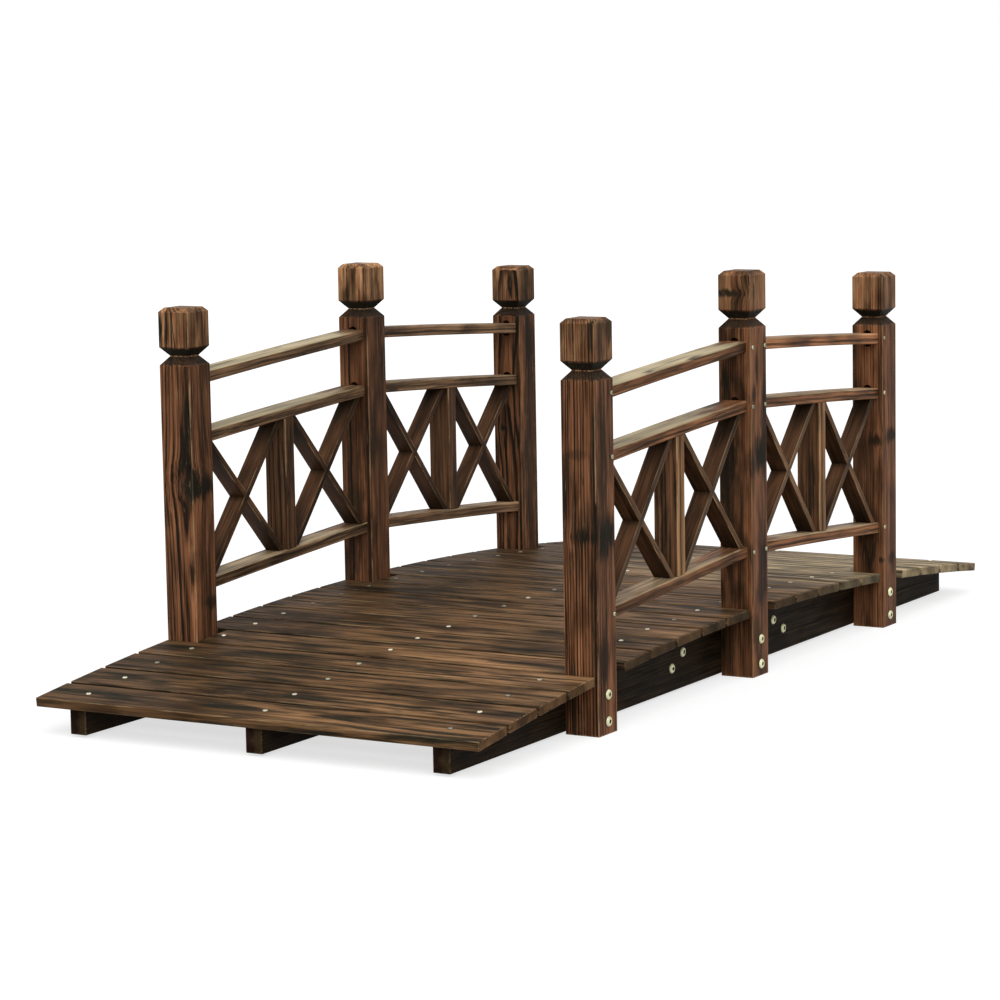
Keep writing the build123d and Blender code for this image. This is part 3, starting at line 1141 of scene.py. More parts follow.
def rail_edge_line(rail, side, bay, top):
    """Height by x of a rail's top or under side, from post to post."""
    low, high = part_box(rail)
    depth = RAIL_DEPTH * MM
    if bay == "near":
        first, last, posts = low[2] + depth, high[2], ("near", "mid")
    else:
        first, last, posts = high[2], low[2] + depth, ("mid", "far")
    x1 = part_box(f"post_{side}_{posts[0]}")[1][0]
    x2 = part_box(f"post_{side}_{posts[1]}")[0][0]
    drop = 0.0 if top else depth

    def height(x):
        t = (x - x1) / (x2 - x1)
        return first + (last - first) * t + 4 * RAIL_BOW * MM * t * (1 - t) - drop

    return height


class FOOTBRIDGE_OT_lattice(bpy.types.Operator):
    """Make the lattice bars and the uprights"""

    bl_idname = "footbridge.lattice"
    bl_label = "Lattice"

    def execute(self, context):
        look = look_of(context, "lattice")
        bars = [self.bar_material(look, way) for way in ("rising", "falling")]
        for number, (side, bay) in enumerate(product(SIDES, BAYS)):
            baluster, lattice = f"baluster_{side}_{bay}", f"lattice_{side}_{bay}"
            material = self.upright_material(look, baluster, number, side)
            upright = new_piece(
                f"upright_{side}_{bay}", eased_copy(baluster, look.ease), [material]
            )
            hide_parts(baluster)

            low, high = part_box(lattice)
            left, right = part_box(baluster)
            low_line = rail_edge_line(f"bottom_rail_{side}_{bay}", side, bay, True)
            high_line = rail_edge_line(f"middle_rail_{side}_{bay}", side, bay, False)
            fields = (low[0], left[0] - GAP_TO_UPRIGHT), (right[0] + GAP_TO_UPRIGHT, high[0])
            bm = bmesh.new()
            layer = bm.verts.layers.float_vector.new("grain")
            for cross, (x1, x2) in enumerate(fields):
                halved_cross(
                    bm, layer, x1, x2, low_line, high_line, low[1], high[1], look,
                    4 * number + 2 * cross, SIDES[side],
                )
            mesh = closed_mesh(bm, "cross_bars")
            piece = new_piece(f"cross_bars_{side}_{bay}", mesh, bars)
            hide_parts(lattice)
        return {"FINISHED"}

    @staticmethod
    def upright_material(look, baluster, number, side):
        """Smoked fir of an upright, its outer face brushed, with a dark vein."""
        size = box_size(baluster) / MM
        material, g, shader = new_material(f"wood_{baluster}")
        spot = piece_place(g, box_centre(baluster), UPRIGHT)
        outward = g.split(spot)[1] * float(SIDES[side])
        face = g.step(outward, UPRIGHT_DEPTH / 2 - 0.8, UPRIGHT_DEPTH / 2 - 0.2)
        darker_wood = opaque(look.upright_wood, 0.75 if side == "left" else 1.0)
        ragged = (g.noise(spot, (60, 9, 9), 2.0) - 0.5) * 5.0
        vein = abs(g.split(spot)[2] - 2.0 + ragged)
        vein = face * (1.0 - g.step(vein, 1.2, 3.4))
        own = {
            "Pith": (0, 50, -20 + 9 * number),
            "Early Wood": g.mix(face, darker_wood, opaque(look.upright_face)),
            "Char Cover": look.char_cover - face * 0.35,
            "Ring Width": 6.5,
            "Wander": 3.0,
            "Streaks": 0.8,
        }
        # The ends are hidden in the rails, so no pale edge is to reach them.
        past_ends = 20
        finish_wood(
            g, shader, look, spot, 60.0 + number * 1.9, own,
            burn=vein * 0.75, half=(size.z / 2 + past_ends, size.y / 2, size.x / 2),
            edge_width=1.6, edge_wear=1.2,
        )
        return material

    @staticmethod
    def bar_material(look, way):
        """Smoked fir along each bar, its outer face brushed, with painted shadow at the crossings
        and towards the ends.
        """
        material, g, shader = new_material(f"wood_{way}_bars")
        grain = g.add("ShaderNodeAttribute", attribute_name="grain")
        spot = Signal(g, grain.outputs["Vector"])
        half_depth = BAR_DEPTH / 2
        face = g.step(g.split(spot)[1], half_depth - 0.8, half_depth - 0.3)
        from_crossing = g.math("PINGPONG", g.split(spot)[0], BAR_SPACING / 2)
        crossing_shadow = 1.0 - g.step(from_crossing, 3.0, 15.0)
        # Painted shadow: the bars are burnt darker, in patches, close to the crossing and towards
        # their ends.
        darker_wood = g.math("MAXIMUM", g.step(from_crossing, 50.0, 110.0), crossing_shadow * 0.8)
        darker_wood = darker_wood * g.blend(g.noise(spot, (40, 12, 12), 2.0), 0.35, 1.0)
        own = {
            "Pith": (0, 30, 14),
            "Early Wood": g.mix(face, opaque(look.bar_side), opaque(getattr(look, f"{way}_face"))),
            "Late Strength": 0.35,
            "Ring Width": 4.5,
            "Streaks": 0.85,
            "Char Cover": 0.25,
        }
        endless = 1e6
        finish_wood(
            g, shader, look, spot, 5.0, own,
            burn=darker_wood * g.blend(face, 1.0, 0.4),
            half=(endless, half_depth, look.bar_width / MM / 2),
            edge_width=1.4, edge_wear=1.2 if way == "falling" else 0.6,
        )
        return material


# Scorched spots of the deck: number of the slat from the middle, then the place towards +Y
# and towards +X on it, the reach along and across the slat, in millimetres, and darkness.
DECK_MARKS = (
    (-10, 290, 5, 38, 9, 0.85),
    (-10, 215, -2, 34, 8, 0.80),
    (-10, 75, 14, 46, 8, 0.75),
    (-10, 10, 0, 55, 7, 0.80),
    (-10, -45, 15, 36, 6, 0.60),
    (-9, 262, 0, 40, 9, 0.80),
    (-9, 205, -2, 18, 7, 0.75),
    (-9, -30, -5, 62, 8, 0.75),
    (-9, 45, 8, 34, 5, 0.60),
    (-8, 205, 0, 62, 16, 0.60),
    (-8, 20, 14, 90, 6, 0.50),
    (-7, 290, 0, 60, 20, 0.55),
    (-7, 120, 0, 48, 12, 0.75),
    (-7, -50, 6, 72, 11, 0.80),
    (-6, -30, 24, 66, 6, 0.65),
    (-5, -38, 16, 40, 9, 0.80),
    (-5, -60, -4, 58, 6, 0.75),
    (-5, -190, 0, 90, 26, 0.50),
    (-4, 250, 0, 50, 22, 0.55),
    (-4, -200, 0, 110, 26, 0.60),
    (-4, -20, -12, 44, 8, 0.60),
    (-1, 160, 0, 80, 14, 0.75),
    (-2, 60, 8, 60, 10, 0.55),
)

# Brightness of the deck nodes that differ from the rest.
DECK_TONES = {"short_slat_near": 1.25, "deck_slats_near_ramp": 0.95}


class FOOTBRIDGE_OT_deck(bpy.types.Operator):
    """Finish the deck slats"""

    bl_idname = "footbridge.deck"
    bl_label = "Deck slats"

    def execute(self, context):
        look = look_of(context, "deck")
        arch = deck_arch()
        for name in NODES:
            if not name.startswith(("deck_slats", "short_slat")):
                continue
            material, g, shader = new_material(f"wood_{name}")
            spot = piece_place(g, (0, 0, arch["crest_z"]), (0, 0, 0))
            slat = use(
                g,
                "slat_place",
                {
                    "Place": spot,
                    "Pitch": arch["pitch"] / MM,
                    "Arch Radius": arch["radius"] / MM,
                    "Crest": arch["crest_x"] / MM,
                },
            )
            place, number = slat["Place"], slat["Number"]
            chance = g.add("ShaderNodeTexWhiteNoise", {"Vector": g.join(number, 5.0, 0.0)})
            aside, depth, shade = g.split(chance.outputs["Color"])
            x, y, z = g.split(spot)
            drift = (g.noise(spot, (120, 160, 120), 2.0) - 0.5) * 260.0
            shaded = g.step(y + drift, -170.0, 170.0)
            tone = g.blend(shade, 0.85, 1.15) * g.blend(shaded, look.light_side, look.dark_side)
            early = g.vector("SCALE", look.early_wood, tone * DECK_TONES.get(name, 1.0))
            # Painted sheen, with weathering: the far slats towards -Y are mixed towards the pale
            # faded colour.
            far = g.step(x, 60.0, 420.0) * (1.0 - shaded)
            own = {
                "Pith": g.join(0.0, (aside - 0.5) * 90.0, -14.0 - depth * 34.0),
                "Early Wood": g.mix(far * 0.95, early, opaque(look.faded)),
            }
            half_length = box_size(name).y / MM / 2
            burn = self.long_edges(g, place, number, look)
            burn = self.spots(g, g.join(y, x, z), burn, name, arch["pitch"] / MM)
            if name.endswith("bay"):
                tip = g.step(abs(y), half_length - 7.0, half_length - 0.5)
                burn = g.math("MAXIMUM", burn, tip * 0.6)
            finish_wood(
                g, shader, look, place, number * 3.31 + 140.0, own,
                burn=burn, half=(half_length, SLAT_WIDTH / 2, SLAT_DEPTH / 2), edge_width=1.7,
            )
            dress(name, material)
        return {"FINISHED"}

    @staticmethod
    def spots(g, across, burn, name, pitch):
        """Adds the scorched spots of one CAD node's slats to its burn."""
        through = 900
        for number, along, off, reach, width, dark in DECK_MARKS:
            if slat_node(number) == name:
                centre = (along, number * pitch + off, 0)
                mark = scorched_spot(centre, (reach, width, through), dark)
                burn = use(g, "scorch", {"Place": across, "Burn": burn, **mark})["Burn"]
        return burn

    @staticmethod
    def long_edges(g, place, number, look):
        """Scorching and painted shade along the slats' long edges, where they face the gaps between
        slats, but for the outer edges of the end slats.
        """
        y = g.split(place)[1]
        edge = SLAT_WIDTH / 2
        ragged = g.noise(place, (70, 6, 6), 2.0) * 5.0
        inner = g.step(number * y, END_SLAT * -31.5, END_SLAT * -30.5)
        burn = g.step(abs(y) + ragged, edge + 0.8, edge + 3.0) * look.gap_char_and_shade
        return burn * inner


def deck_arch():
    """Pitch of the slats and the circle that their middles lie on."""
    near, mid, far = (box_centre(f"short_slat_{place}") for place in PLACES)
    pitch = (far.x - near.x) / (2 * SHORT_SLAT)
    a = (near.z - mid.z) / near.x
    b = (far.z - mid.z) / far.x
    bend = (b - a) / (far.x - near.x)
    slope = a - bend * near.x
    crest_x = -slope / (2 * bend)
    crest_z = mid.z + slope * crest_x + bend * crest_x**2
    return {"pitch": pitch, "radius": -1 / (2 * bend), "crest_x": crest_x, "crest_z": crest_z}


class FOOTBRIDGE_OT_stringers(bpy.types.Operator):
    """Finish the stringers and splice boards"""

    bl_idname = "footbridge.stringers"
    bl_label = "Stringers"

    def execute(self, context):
        look = look_of(context, "stringers")
        names = sorted(n for n in NODES if n.startswith(("stringer", "splice")))
        for number, name in enumerate(names):
            material, g, shader = new_material(f"wood_{name}")
            spot = piece_place(g, box_centre(name), (0, 0, 0))
            half = tuple(box_size(name) / MM / 2)
            end = g.step(abs(g.split(spot)[0]), half[0] - 0.6, half[0] - 0.3)
            # Painted shadow: the +Y part of each sawn end takes the darker colour.
            across = g.split(spot)[1] + g.noise(spot, (9, 9, 9), 2.0) * 16.0
            sawn = g.mix(g.step(across, 5.0, 11.0), opaque(look.end_wood), opaque(look.end_shadow))
            own = {
                "Pith": (0, 25, 60),
                "Early Wood": g.mix(end, opaque(look.early_wood), sawn),
                "Char Cover": look.char_cover - end * 0.4,
            }
            finish_wood(g, shader, look, spot, 200.0 + number * 2.7, own, half=half)
            eased = eased_copy(name, 1.0 * MM)
            beam = new_piece(f"{name}_eased", eased, [material])
            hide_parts(name)
        return {"FINISHED"}


def ring_of(bm, radius_at, z, count):
    """Ring of points about the Z axis, its radius given by angle."""
    verts = []
    for i in range(count):
        turn = 2 * math.pi * i / count
        r = radius_at(turn)
        verts.append(bm.verts.new((r * math.cos(turn), r * math.sin(turn), z)))
    return verts


def stack_rings(bm, rings):
    """Closed shell through rings of points, from the lowest outward and over to the last."""
    for lower, upper in zip(rings, rings[1:]):
        for i in range(len(lower)):
            j = (i + 1) % len(lower)
            bm.faces.new((lower[i], lower[j], upper[j], upper[i]))
    bm.faces.new(list(reversed(rings[0])))
    bm.faces.new(rings[-1])


def even(radius):
    """Outline of a circle by angle."""
    return lambda a: radius


def hex_socket(across):
    """Outline of a hexagon by angle."""
    half = across / 2
    return lambda a: half / math.cos((a % (math.pi / 3)) - math.pi / 6)


def cross_socket(reach, width):
    """Outline of a cross recess by angle."""

    def radius(a):
        off = ((a + math.pi / 4) % (math.pi / 2)) - math.pi / 4
        side = abs(math.sin(off))
        return min(reach / math.cos(off), width / 2 / side if side > 1e-6 else reach)

    return radius


def head_mesh(name, radius, dome, outline, depth, count):
    """Domed head with a socket, closed, its rim on z = 0."""
    bm = bmesh.new()
    rings = [
        ring_of(bm, even(radius * 0.94), -0.2 * MM, count),
        ring_of(bm, even(radius), 0.15 * dome, count),
        ring_of(bm, even(radius * 0.97), 0.45 * dome, count),
        ring_of(bm, even(radius * 0.82), 0.82 * dome, count),
        ring_of(bm, lambda a: max(radius * 0.6, outline(a) * 1.12), 0.98 * dome, count),
        ring_of(bm, outline, dome, count),
        ring_of(bm, lambda a: outline(a) * 0.86, dome - depth, count),
    ]
    stack_rings(bm, rings)
    mesh = closed_mesh(bm, name)
    recess = mesh.attributes.new("recess", "FLOAT", "POINT")
    for vert in mesh.vertices[-count:]:
        recess.data[vert.index].value = 1.0
    return mesh


def seat_mesh(name, inner, outer, rise, count):
    """Thin dark ring round a head: scorched wood and painted shadow of a countersink."""
    bm = bmesh.new()
    stack_rings(
        bm,
        [
            ring_of(bm, even(outer), -0.2 * MM, count),
            ring_of(bm, even(outer), rise * 0.4, count),
            ring_of(bm, even((inner + outer) / 2), rise, count),
            ring_of(bm, even(inner), rise * 0.3, count),
        ],
    )
    return closed_mesh(bm, name)


def fixing_meshes(name, diameter, dome, outline, depth, seat_width, seat_rise, count=24):
    """Meshes of a head and of the dark seat round it, scorched wood and painted shadow."""
    radius = diameter / 2
    head = head_mesh(f"{name}_head", radius, dome, outline, depth, count)
    seat = seat_mesh(f"{name}_seat", radius * 0.9, radius + seat_width, seat_rise, count)
    return head, seat


def fixings_tree():
    """Sets a head and its seat on every point, facing the way the point says."""
    tree = bpy.data.node_groups.get("fixings")
    if tree:
        return tree
    tree = bpy.data.node_groups.new("fixings", "GeometryNodeTree")
    tree.is_modifier = True
    for label, kind in (
        ("Points", "NodeSocketGeometry"),
        ("Head", "NodeSocketObject"),
        ("Seat", "NodeSocketObject"),
        ("Head Finish", "NodeSocketMaterial"),
        ("Seat Finish", "NodeSocketMaterial"),
    ):
        tree.interface.new_socket(label, in_out="INPUT", socket_type=kind)
    tree.interface.new_socket("Fixings", in_out="OUTPUT", socket_type="NodeSocketGeometry")
    g = Graph(tree)
    given = g.signals(g.add("NodeGroupInput"))
    facing = g.add("GeometryNodeInputNamedAttribute", {"Name": "facing"}, data_type="FLOAT_VECTOR")
    turn = g.add("GeometryNodeInputNamedAttribute", {"Name": "turn"}, data_type="FLOAT")
    aim = g.add("FunctionNodeAlignRotationToVector", {"Vector": facing.outputs[0]}, axis="Z")
    about_z = g.add("ShaderNodeCombineXYZ", {"Z": turn.outputs[0]})
    spin = g.add(
        "FunctionNodeRotateRotation",
        {"Rotation": aim.outputs[0], "Rotate By": about_z.outputs[0]},
        rotation_space="LOCAL",
    )
    joined = g.add("GeometryNodeJoinGeometry")
    for part, finish in (("Seat", "Seat Finish"), ("Head", "Head Finish")):
        shape = g.add("GeometryNodeObjectInfo", {"Object": given[part]}, transform_space="ORIGINAL")
        placed = g.add(
            "GeometryNodeInstanceOnPoints",
            {
                "Points": given["Points"],
                "Instance": shape.outputs["Geometry"],
                "Rotation": spin.outputs[0],
            },
        )
        real = g.add("GeometryNodeRealizeInstances", {"Geometry": placed.outputs[0]})
        painted = g.add(
            "GeometryNodeSetMaterial", {"Geometry": real.outputs[0], "Material": given[finish]}
        )
        tree.links.new(painted.outputs[0], joined.inputs[0])
    g.add("NodeGroupOutput", {0: joined.outputs[0]})
    return tree


def set_fixings(name, spots, meshes, head_finish, seat_finish):
    """One piece of heads and seats on spots, each a (place, facing, turn)."""
    points = bpy.data.meshes.new(name)
    points.from_pydata([spot[0] for spot in spots], [], [])
    points.attributes.new("facing", "FLOAT_VECTOR", "POINT")
    points.attributes.new("turn", "FLOAT", "POINT")
    for i, (_, way, turn) in enumerate(spots):
        points.attributes["facing"].data[i].vector = way
        points.attributes["turn"].data[i].value = turn
    carrier = bpy.data.objects.new(f"{name}_points", points)
    head, seat = (bpy.data.objects.new(f"{name}_{i}", mesh) for i, mesh in enumerate(meshes))
    for thing in (carrier, head, seat):
        bpy.context.scene.collection.objects.link(thing)
    modifier = carrier.modifiers.new("fixings", "NODES")
    modifier.node_group = fixings_tree()
    values = {"Head": head, "Seat": seat, "Head Finish": head_finish, "Seat Finish": seat_finish}
    for item in modifier.node_group.interface.items_tree:
        if item.in_out == "INPUT" and item.name in values:
            modifier[item.identifier] = values[item.name]
    graph = bpy.context.evaluated_depsgraph_get()
    mesh = bpy.data.meshes.new_from_object(carrier.evaluated_get(graph))
    carrier.modifiers.remove(modifier)
    for thing in (carrier, head, seat):
        bpy.data.objects.remove(thing)
    for spare in ("facing", "turn"):
        if spare in mesh.attributes:
            mesh.attributes.remove(mesh.attributes[spare])
    finishes = list(mesh.materials)
    empty = finishes.count(None)
    for face in mesh.polygons:
        face.material_index -= empty
    return new_piece(name, mesh, finishes[empty:])


def zinc_material(name, zinc, dimmest=0.85, rusty_from=None):
    """Zinc plate, a little dulled, with painted shade in its socket, and rusty beyond a place."""
    material, g, shader = new_material(name)
    spot = frame_place(g)
    cloud = g.noise(spot, (3, 3, 3), 2.0)
    plate = g.mix(g.step(cloud, 0.35, 0.75), opaque(zinc), opaque(zinc, 0.7))
    each = g.step(g.noise(spot, (60, 60, 60), 0.0), 0.35, 0.6)
    plate = g.vector("SCALE", plate, g.blend(each, dimmest, 1.08))
    if rusty_from:
        x, y, _ = g.split(spot)
        rusty = g.step(x, *rusty_from[0]) * g.step(y, *rusty_from[1])
        plate = g.mix(rusty * 0.85, plate, (0.12, 0.075, 0.042, 1))
    # Painted shade: the bottom of the socket is made near black.
    recess = g.add("ShaderNodeAttribute", attribute_name="recess").outputs["Fac"]
    socket_shade = g.step(recess, 0.1, 0.6)
    g.feed(shader.inputs["Base Color"], g.mix(socket_shade, plate, (0.010, 0.009, 0.007, 1)))
    g.feed(shader.inputs["Roughness"], 0.3 + cloud * 0.3)
    g.feed(shader.inputs["Metallic"], g.blend(socket_shade, 0.3, 0.0))
    return material


def scorch_and_shade_material():
    """Dark wood round the fixings: scorched wood and painted shadow of a countersink."""
    material, g, shader = new_material("scorched_ring")
    cloud = g.noise(frame_place(g), (2, 2, 2), 2.0)
    scorched = g.mix(cloud, (0.008, 0.006, 0.005, 1), (0.035, 0.022, 0.014, 1))
    g.feed(shader.inputs["Base Color"], scorched)
    shader.inputs["Roughness"].default_value = 0.8
    return material


def surface_spot(node, start, way):
    """Where a ray from start meets a CAD node, and which way that surface faces."""
    mesh = NODES[node].data
    tree = BVHTree.FromPolygons([v.co for v in mesh.vertices], [p.vertices for p in mesh.polygons])
    place, normal, _, _ = tree.ray_cast(Vector(start), Vector(way))
    if place is None:
        raise RuntimeError(f"no surface of {node} at {tuple(start)}")
    return place, normal


# Heights of a post's bolts above the floor, in metres.
POST_BOLTS = (0.050, 0.016)
# Distance from the middle of a splice and height above the floor of the bolts beside it.
SPLICE_BOLTS = ((0.139, 0.0515), (0.171, 0.0345))
# Where the search for a fixing's spot starts: beside the wood, or above the floor.
OUTSIDE = 0.1
OVERHEAD = 0.3


class FOOTBRIDGE_OT_bolts(bpy.types.Operator):
    """Set the bolts of the posts and of the splices"""

    bl_idname = "footbridge.bolts"
    bl_label = "Bolts"

    def execute(self, context):
        sizes = context.scene.footbridge.fixings
        rng = random.Random(sizes.seed)
        spots = []
        for side, sign in SIDES.items():
            for place in PLACES:
                name = f"post_{side}_{place}"
                centre = box_centre(name)
                for height in POST_BOLTS:
                    x = centre.x + rng.uniform(-1, 1) * MM
                    start = (x, centre.y + sign * OUTSIDE, height)
                    spots.append(self.bolt(name, start, sign, rng))
            joint = box_centre(f"splice_{side}").x
            for offset, height in SPLICE_BOLTS:
                for half, way_x in (("near", -1), ("far", 1)):
                    name = f"stringer_{side}_{half}"
                    start = (joint + way_x * offset, box_centre(name).y + sign * OUTSIDE, height)
                    spots.append(self.bolt(name, start, sign, rng))
        meshes = fixing_meshes(
            "bolt", sizes.bolt_head, sizes.bolt_dome, hex_socket(across=5.6 * MM),
            depth=1.8 * MM, seat_width=0.9 * MM, seat_rise=0.5 * MM, count=36,
        )
        zinc = zinc_material("yellow_zinc", sizes.zinc)
        set_fixings("frame_bolts", spots, meshes, zinc, scorch_and_shade_material())
        return {"FINISHED"}

    @staticmethod
    def bolt(node, start, sign, rng):
        """Spot of a bolt on the outer face of a CAD node."""
        spot, way = surface_spot(node, start, (0, -sign, 0))
        return spot, way, rng.uniform(0, 1)


# Where the deck screws start and end turning rusty, along X and along Y in millimetres.
RUSTY_FROM = ((-330.0, -180.0), (150.0, 200.0))
# The deck screws stand a little inside the middle lines of the outer stringers.
TOWARD_MIDDLE = 0.985
# How far the rails' screws are set from the rail's edge and from the post's face.
SCREW_BELOW_EDGE = 8.5 * MM
SCREW_IN_FROM_FACE = 5.2 * MM


class FOOTBRIDGE_OT_screws(bpy.types.Operator):
    """Set the screws of the deck and of the rails"""

    bl_idname = "footbridge.screws"
    bl_label = "Screws"

    def execute(self, context):
        sizes = context.scene.footbridge.fixings
        rng = random.Random(sizes.seed + 1)
        # The seats round the screws are dark: scorched wood and painted shadow of a countersink.
        scorched = bpy.data.materials["scorched_ring"]
        spots = self.deck_spots(rng)
        socket = cross_socket(reach=sizes.deck_screw_head * 0.3, width=1.3 * MM)
        meshes = fixing_meshes(
            "deck_screw", sizes.deck_screw_head, sizes.deck_screw_dome, socket,
            depth=1.1 * MM, seat_width=1.0 * MM, seat_rise=0.2 * MM,
        )
        pale = zinc_material("pale_zinc", sizes.pale_zinc, dimmest=0.35, rusty_from=RUSTY_FROM)
        set_fixings("deck_screws", spots, meshes, pale, scorched)
        spots = [
            self.rail_screw(f"{kind}_rail_{side}_{bay}", f"post_{side}_{post}", SIDES[side], rng)
            for kind, side, bay in product(RAILS, SIDES, BAYS)
            for post in (bay, "mid")
        ]
        socket = cross_socket(reach=sizes.rail_screw_head * 0.3, width=1.2 * MM)
        meshes = fixing_meshes(
            "rail_screw", sizes.rail_screw_head, sizes.rail_screw_dome, socket,
            depth=0.9 * MM, seat_width=0.8 * MM, seat_rise=0.3 * MM,
        )
        dull = zinc_material("dull_zinc", sizes.dull_zinc, dimmest=0.6)
        set_fixings("rail_screws", spots, meshes, dull, scorched)
        return {"FINISHED"}

    @staticmethod
    def deck_spots(rng):
        """Spots of the screws that hold every slat to the three stringers."""
        pitch = deck_arch()["pitch"]
        lines = [box_centre(f"stringer_{line}_near").y for line in STRINGER_LINES]
        spots = []
        for number, line in product(range(-END_SLAT, END_SLAT + 1), lines):
            x = number * pitch + rng.uniform(-3, 3) * MM
            y = line * TOWARD_MIDDLE + rng.uniform(-2, 2) * MM
            spot, way = surface_spot(slat_node(number), (x, y, OVERHEAD), (0, 0, -1))
            spots.append((spot, way, rng.uniform(0, 3)))
        return spots

    @staticmethod
    def rail_screw(rail, post, sign, rng):
        """Spot on a post's outer face, beside the tenon of a rail."""
        low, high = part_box(rail)
        centre = box_centre(post)
        toward = 1 if box_centre(rail).x > centre.x else -1
        x = centre.x + toward * (box_size(post).x / 2 - SCREW_IN_FROM_FACE)
        upper_end = post.endswith("mid")
        z = high[2] - SCREW_BELOW_EDGE if upper_end else low[2] + SCREW_BELOW_EDGE
        spot, way = surface_spot(post, (x, centre.y + sign * OUTSIDE, z), (0, -sign, 0))
        return spot, way, rng.uniform(0, 3)


def slat_node(number):
    """CAD node that holds the slat with this number from the middle."""
    short = {-SHORT_SLAT: "near", 0: "mid", SHORT_SLAT: "far"}
    if number in short:
        return f"short_slat_{short[number]}"
    bay = "near" if number < 0 else "far"
    return f"deck_slats_{bay}_{'bay' if abs(number) < SHORT_SLAT else 'ramp'}"


class FOOTBRIDGE_OT_stage(bpy.types.Operator):
    """Make the floor, the lamps and the camera"""

    bl_idname = "footbridge.stage"
    bl_label = "Stage"

    def execute(self, context):
        scene = context.scene
        studio = scene.footbridge.studio
        scene.view_settings.view_transform = "Standard"
        self.lay_floor(scene, studio)
        self.light_sky(scene, studio)
        self.hang_key(scene, studio)
        self.set_camera(scene, studio)
        return {"FINISHED"}

    def lay_floor(self, scene, studio):
        """A white floor, brighter in the view than in the light it gives back."""
        half = studio.floor_size / 2
        corners = [(-half, -half, 0), (half, -half, 0), (half, half, 0), (-half, half, 0)]
        mesh = bpy.data.meshes.new("floor")
        mesh.from_pydata(corners, [], [(0, 1, 2, 3)])
        floor = bpy.data.objects.new("floor", mesh)
        scene.collection.objects.link(floor)
        material, g, shader = new_material("floor_white")
        shade = studio.floor_shade
        shader.inputs["Base Color"].default_value = (shade, shade, shade, 1)
        shader.inputs["Roughness"].default_value = 0.9
        shader.inputs["Specular IOR Level"].default_value = 0.0
        shader.inputs["Emission Color"].default_value = (1, 1, 1, 1)
        g.feed(shader.inputs["Emission Strength"], self.seen(g) * studio.floor_glow)
        mesh.materials.append(material)

    def light_sky(self, scene, studio):
        """Even light from all round, against a white background."""
        world = bpy.data.worlds.new("studio")
        scene.world = world
        world.use_nodes = True
        world.node_tree.nodes.clear()
        g = Graph(world.node_tree)
        strength = g.blend(self.seen(g), studio.fill, 1.0)
        sky = g.add("ShaderNodeBackground", {"Color": (1, 1, 1, 1), "Strength": strength})
        g.add("ShaderNodeOutputWorld", {"Surface": sky.outputs[0]})

    @staticmethod
    def hang_key(scene, studio):
        """The soft key light."""
        lamp = bpy.data.lights.new("key", "SUN")
        lamp.energy = studio.key
        lamp.angle = studio.key_softness
        key = bpy.data.objects.new("key", lamp)
        key.location = studio.key_place
        key.rotation_euler = (-key.location).to_track_quat("-Z", "Y").to_euler()
        scene.collection.objects.link(key)

    def set_camera(self, scene, studio):
        """The camera on its stand."""
        camera = bpy.data.cameras.new("camera")
        camera.sensor_width = 36.0
        camera.lens = studio.lens
        camera.clip_start, camera.clip_end = 0.1, 100.0
        eye = bpy.data.objects.new("camera", camera)
        scene.collection.objects.link(eye)
        eye.matrix_world = self.aim(studio)
        scene.camera = eye

    @staticmethod
    def seen(g):
        """1 where a ray of the camera, a reflection or a clear piece meets the background."""
        path = g.add("ShaderNodeLightPath").outputs
        mirrored = g.math("MAXIMUM", path["Is Glossy Ray"], path["Is Transmission Ray"])
        return g.math("MAXIMUM", path["Is Camera Ray"], mirrored)

    @staticmethod
    def aim(studio):
        """The camera's matrix, from its place, pan, tilt and roll."""
        pan, tilt, roll = studio.pan, studio.tilt, studio.roll
        ahead = Vector(
            (math.cos(pan) * math.cos(tilt), math.sin(pan) * math.cos(tilt), -math.sin(tilt))
        )
        level = Vector((math.sin(pan), -math.cos(pan), 0))
        upright = level.cross(ahead)
        right = math.cos(roll) * level + math.sin(roll) * upright
        up = -math.sin(roll) * level + math.cos(roll) * upright
        turn = Matrix((right, up, -ahead)).transposed().to_4x4()
        return Matrix.Translation(studio.camera_place) @ turn


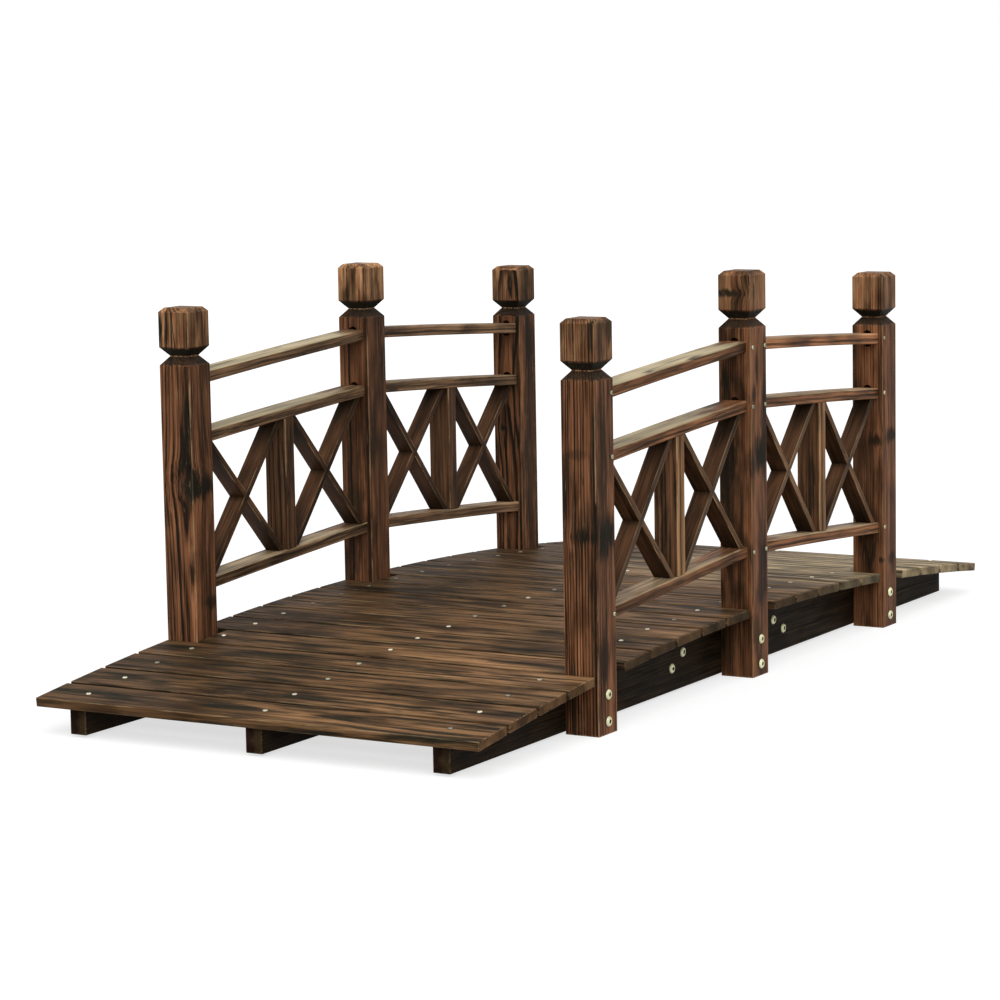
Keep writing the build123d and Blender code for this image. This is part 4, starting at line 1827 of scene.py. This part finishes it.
class FOOTBRIDGE_PT_panel(bpy.types.Panel):
    """Footbridge pieces"""

    bl_label = "Footbridge"
    bl_space_type = "VIEW_3D"
    bl_region_type = "UI"
    bl_category = "Footbridge"

    def draw(self, context):
        for operator in OPERATORS:
            self.layout.operator(operator.bl_idname)


class Footbridge(bpy.types.PropertyGroup):
    """All settings of the footbridge"""

    posts: PointerProperty(type=PostLook, name="Posts", description="Finish of the posts")
    rails: PointerProperty(type=RailLook, name="Rails", description="Finish of the rails")
    lattice: PointerProperty(type=LatticeLook, name="Lattice", description="Finish of the lattice")
    deck: PointerProperty(type=DeckLook, name="Deck", description="Finish of the deck slats")
    stringers: PointerProperty(
        type=StringerLook, name="Stringers", description="Finish of the stringers"
    )
    fixings: PointerProperty(type=FixingSizes, name="Fixings", description="Bolts and screws")
    studio: PointerProperty(
        type=StudioSettings, name="Studio", description="Camera, floor and lamps"
    )


OPERATORS = (
    FOOTBRIDGE_OT_stage,
    FOOTBRIDGE_OT_posts,
    FOOTBRIDGE_OT_rails,
    FOOTBRIDGE_OT_lattice,
    FOOTBRIDGE_OT_deck,
    FOOTBRIDGE_OT_stringers,
    FOOTBRIDGE_OT_bolts,
    FOOTBRIDGE_OT_screws,
)
CLASSES = (
    PostLook,
    RailLook,
    LatticeLook,
    DeckLook,
    StringerLook,
    FixingSizes,
    StudioSettings,
    Footbridge,
    *OPERATORS,
    FOOTBRIDGE_PT_panel,
)


def register():
    for cls in CLASSES:
        bpy.utils.register_class(cls)
    bpy.types.Scene.footbridge = PointerProperty(type=Footbridge)


def unregister():
    del bpy.types.Scene.footbridge
    for cls in reversed(CLASSES):
        bpy.utils.unregister_class(cls)


def main():
    """Dresses the frame."""
    register()
    bpy.ops.footbridge.stage()
    bpy.ops.footbridge.posts()
    bpy.ops.footbridge.rails()
    bpy.ops.footbridge.lattice()
    bpy.ops.footbridge.deck()
    bpy.ops.footbridge.stringers()
    bpy.ops.footbridge.bolts()
    bpy.ops.footbridge.screws()


if __name__ == "__main__":
    main()
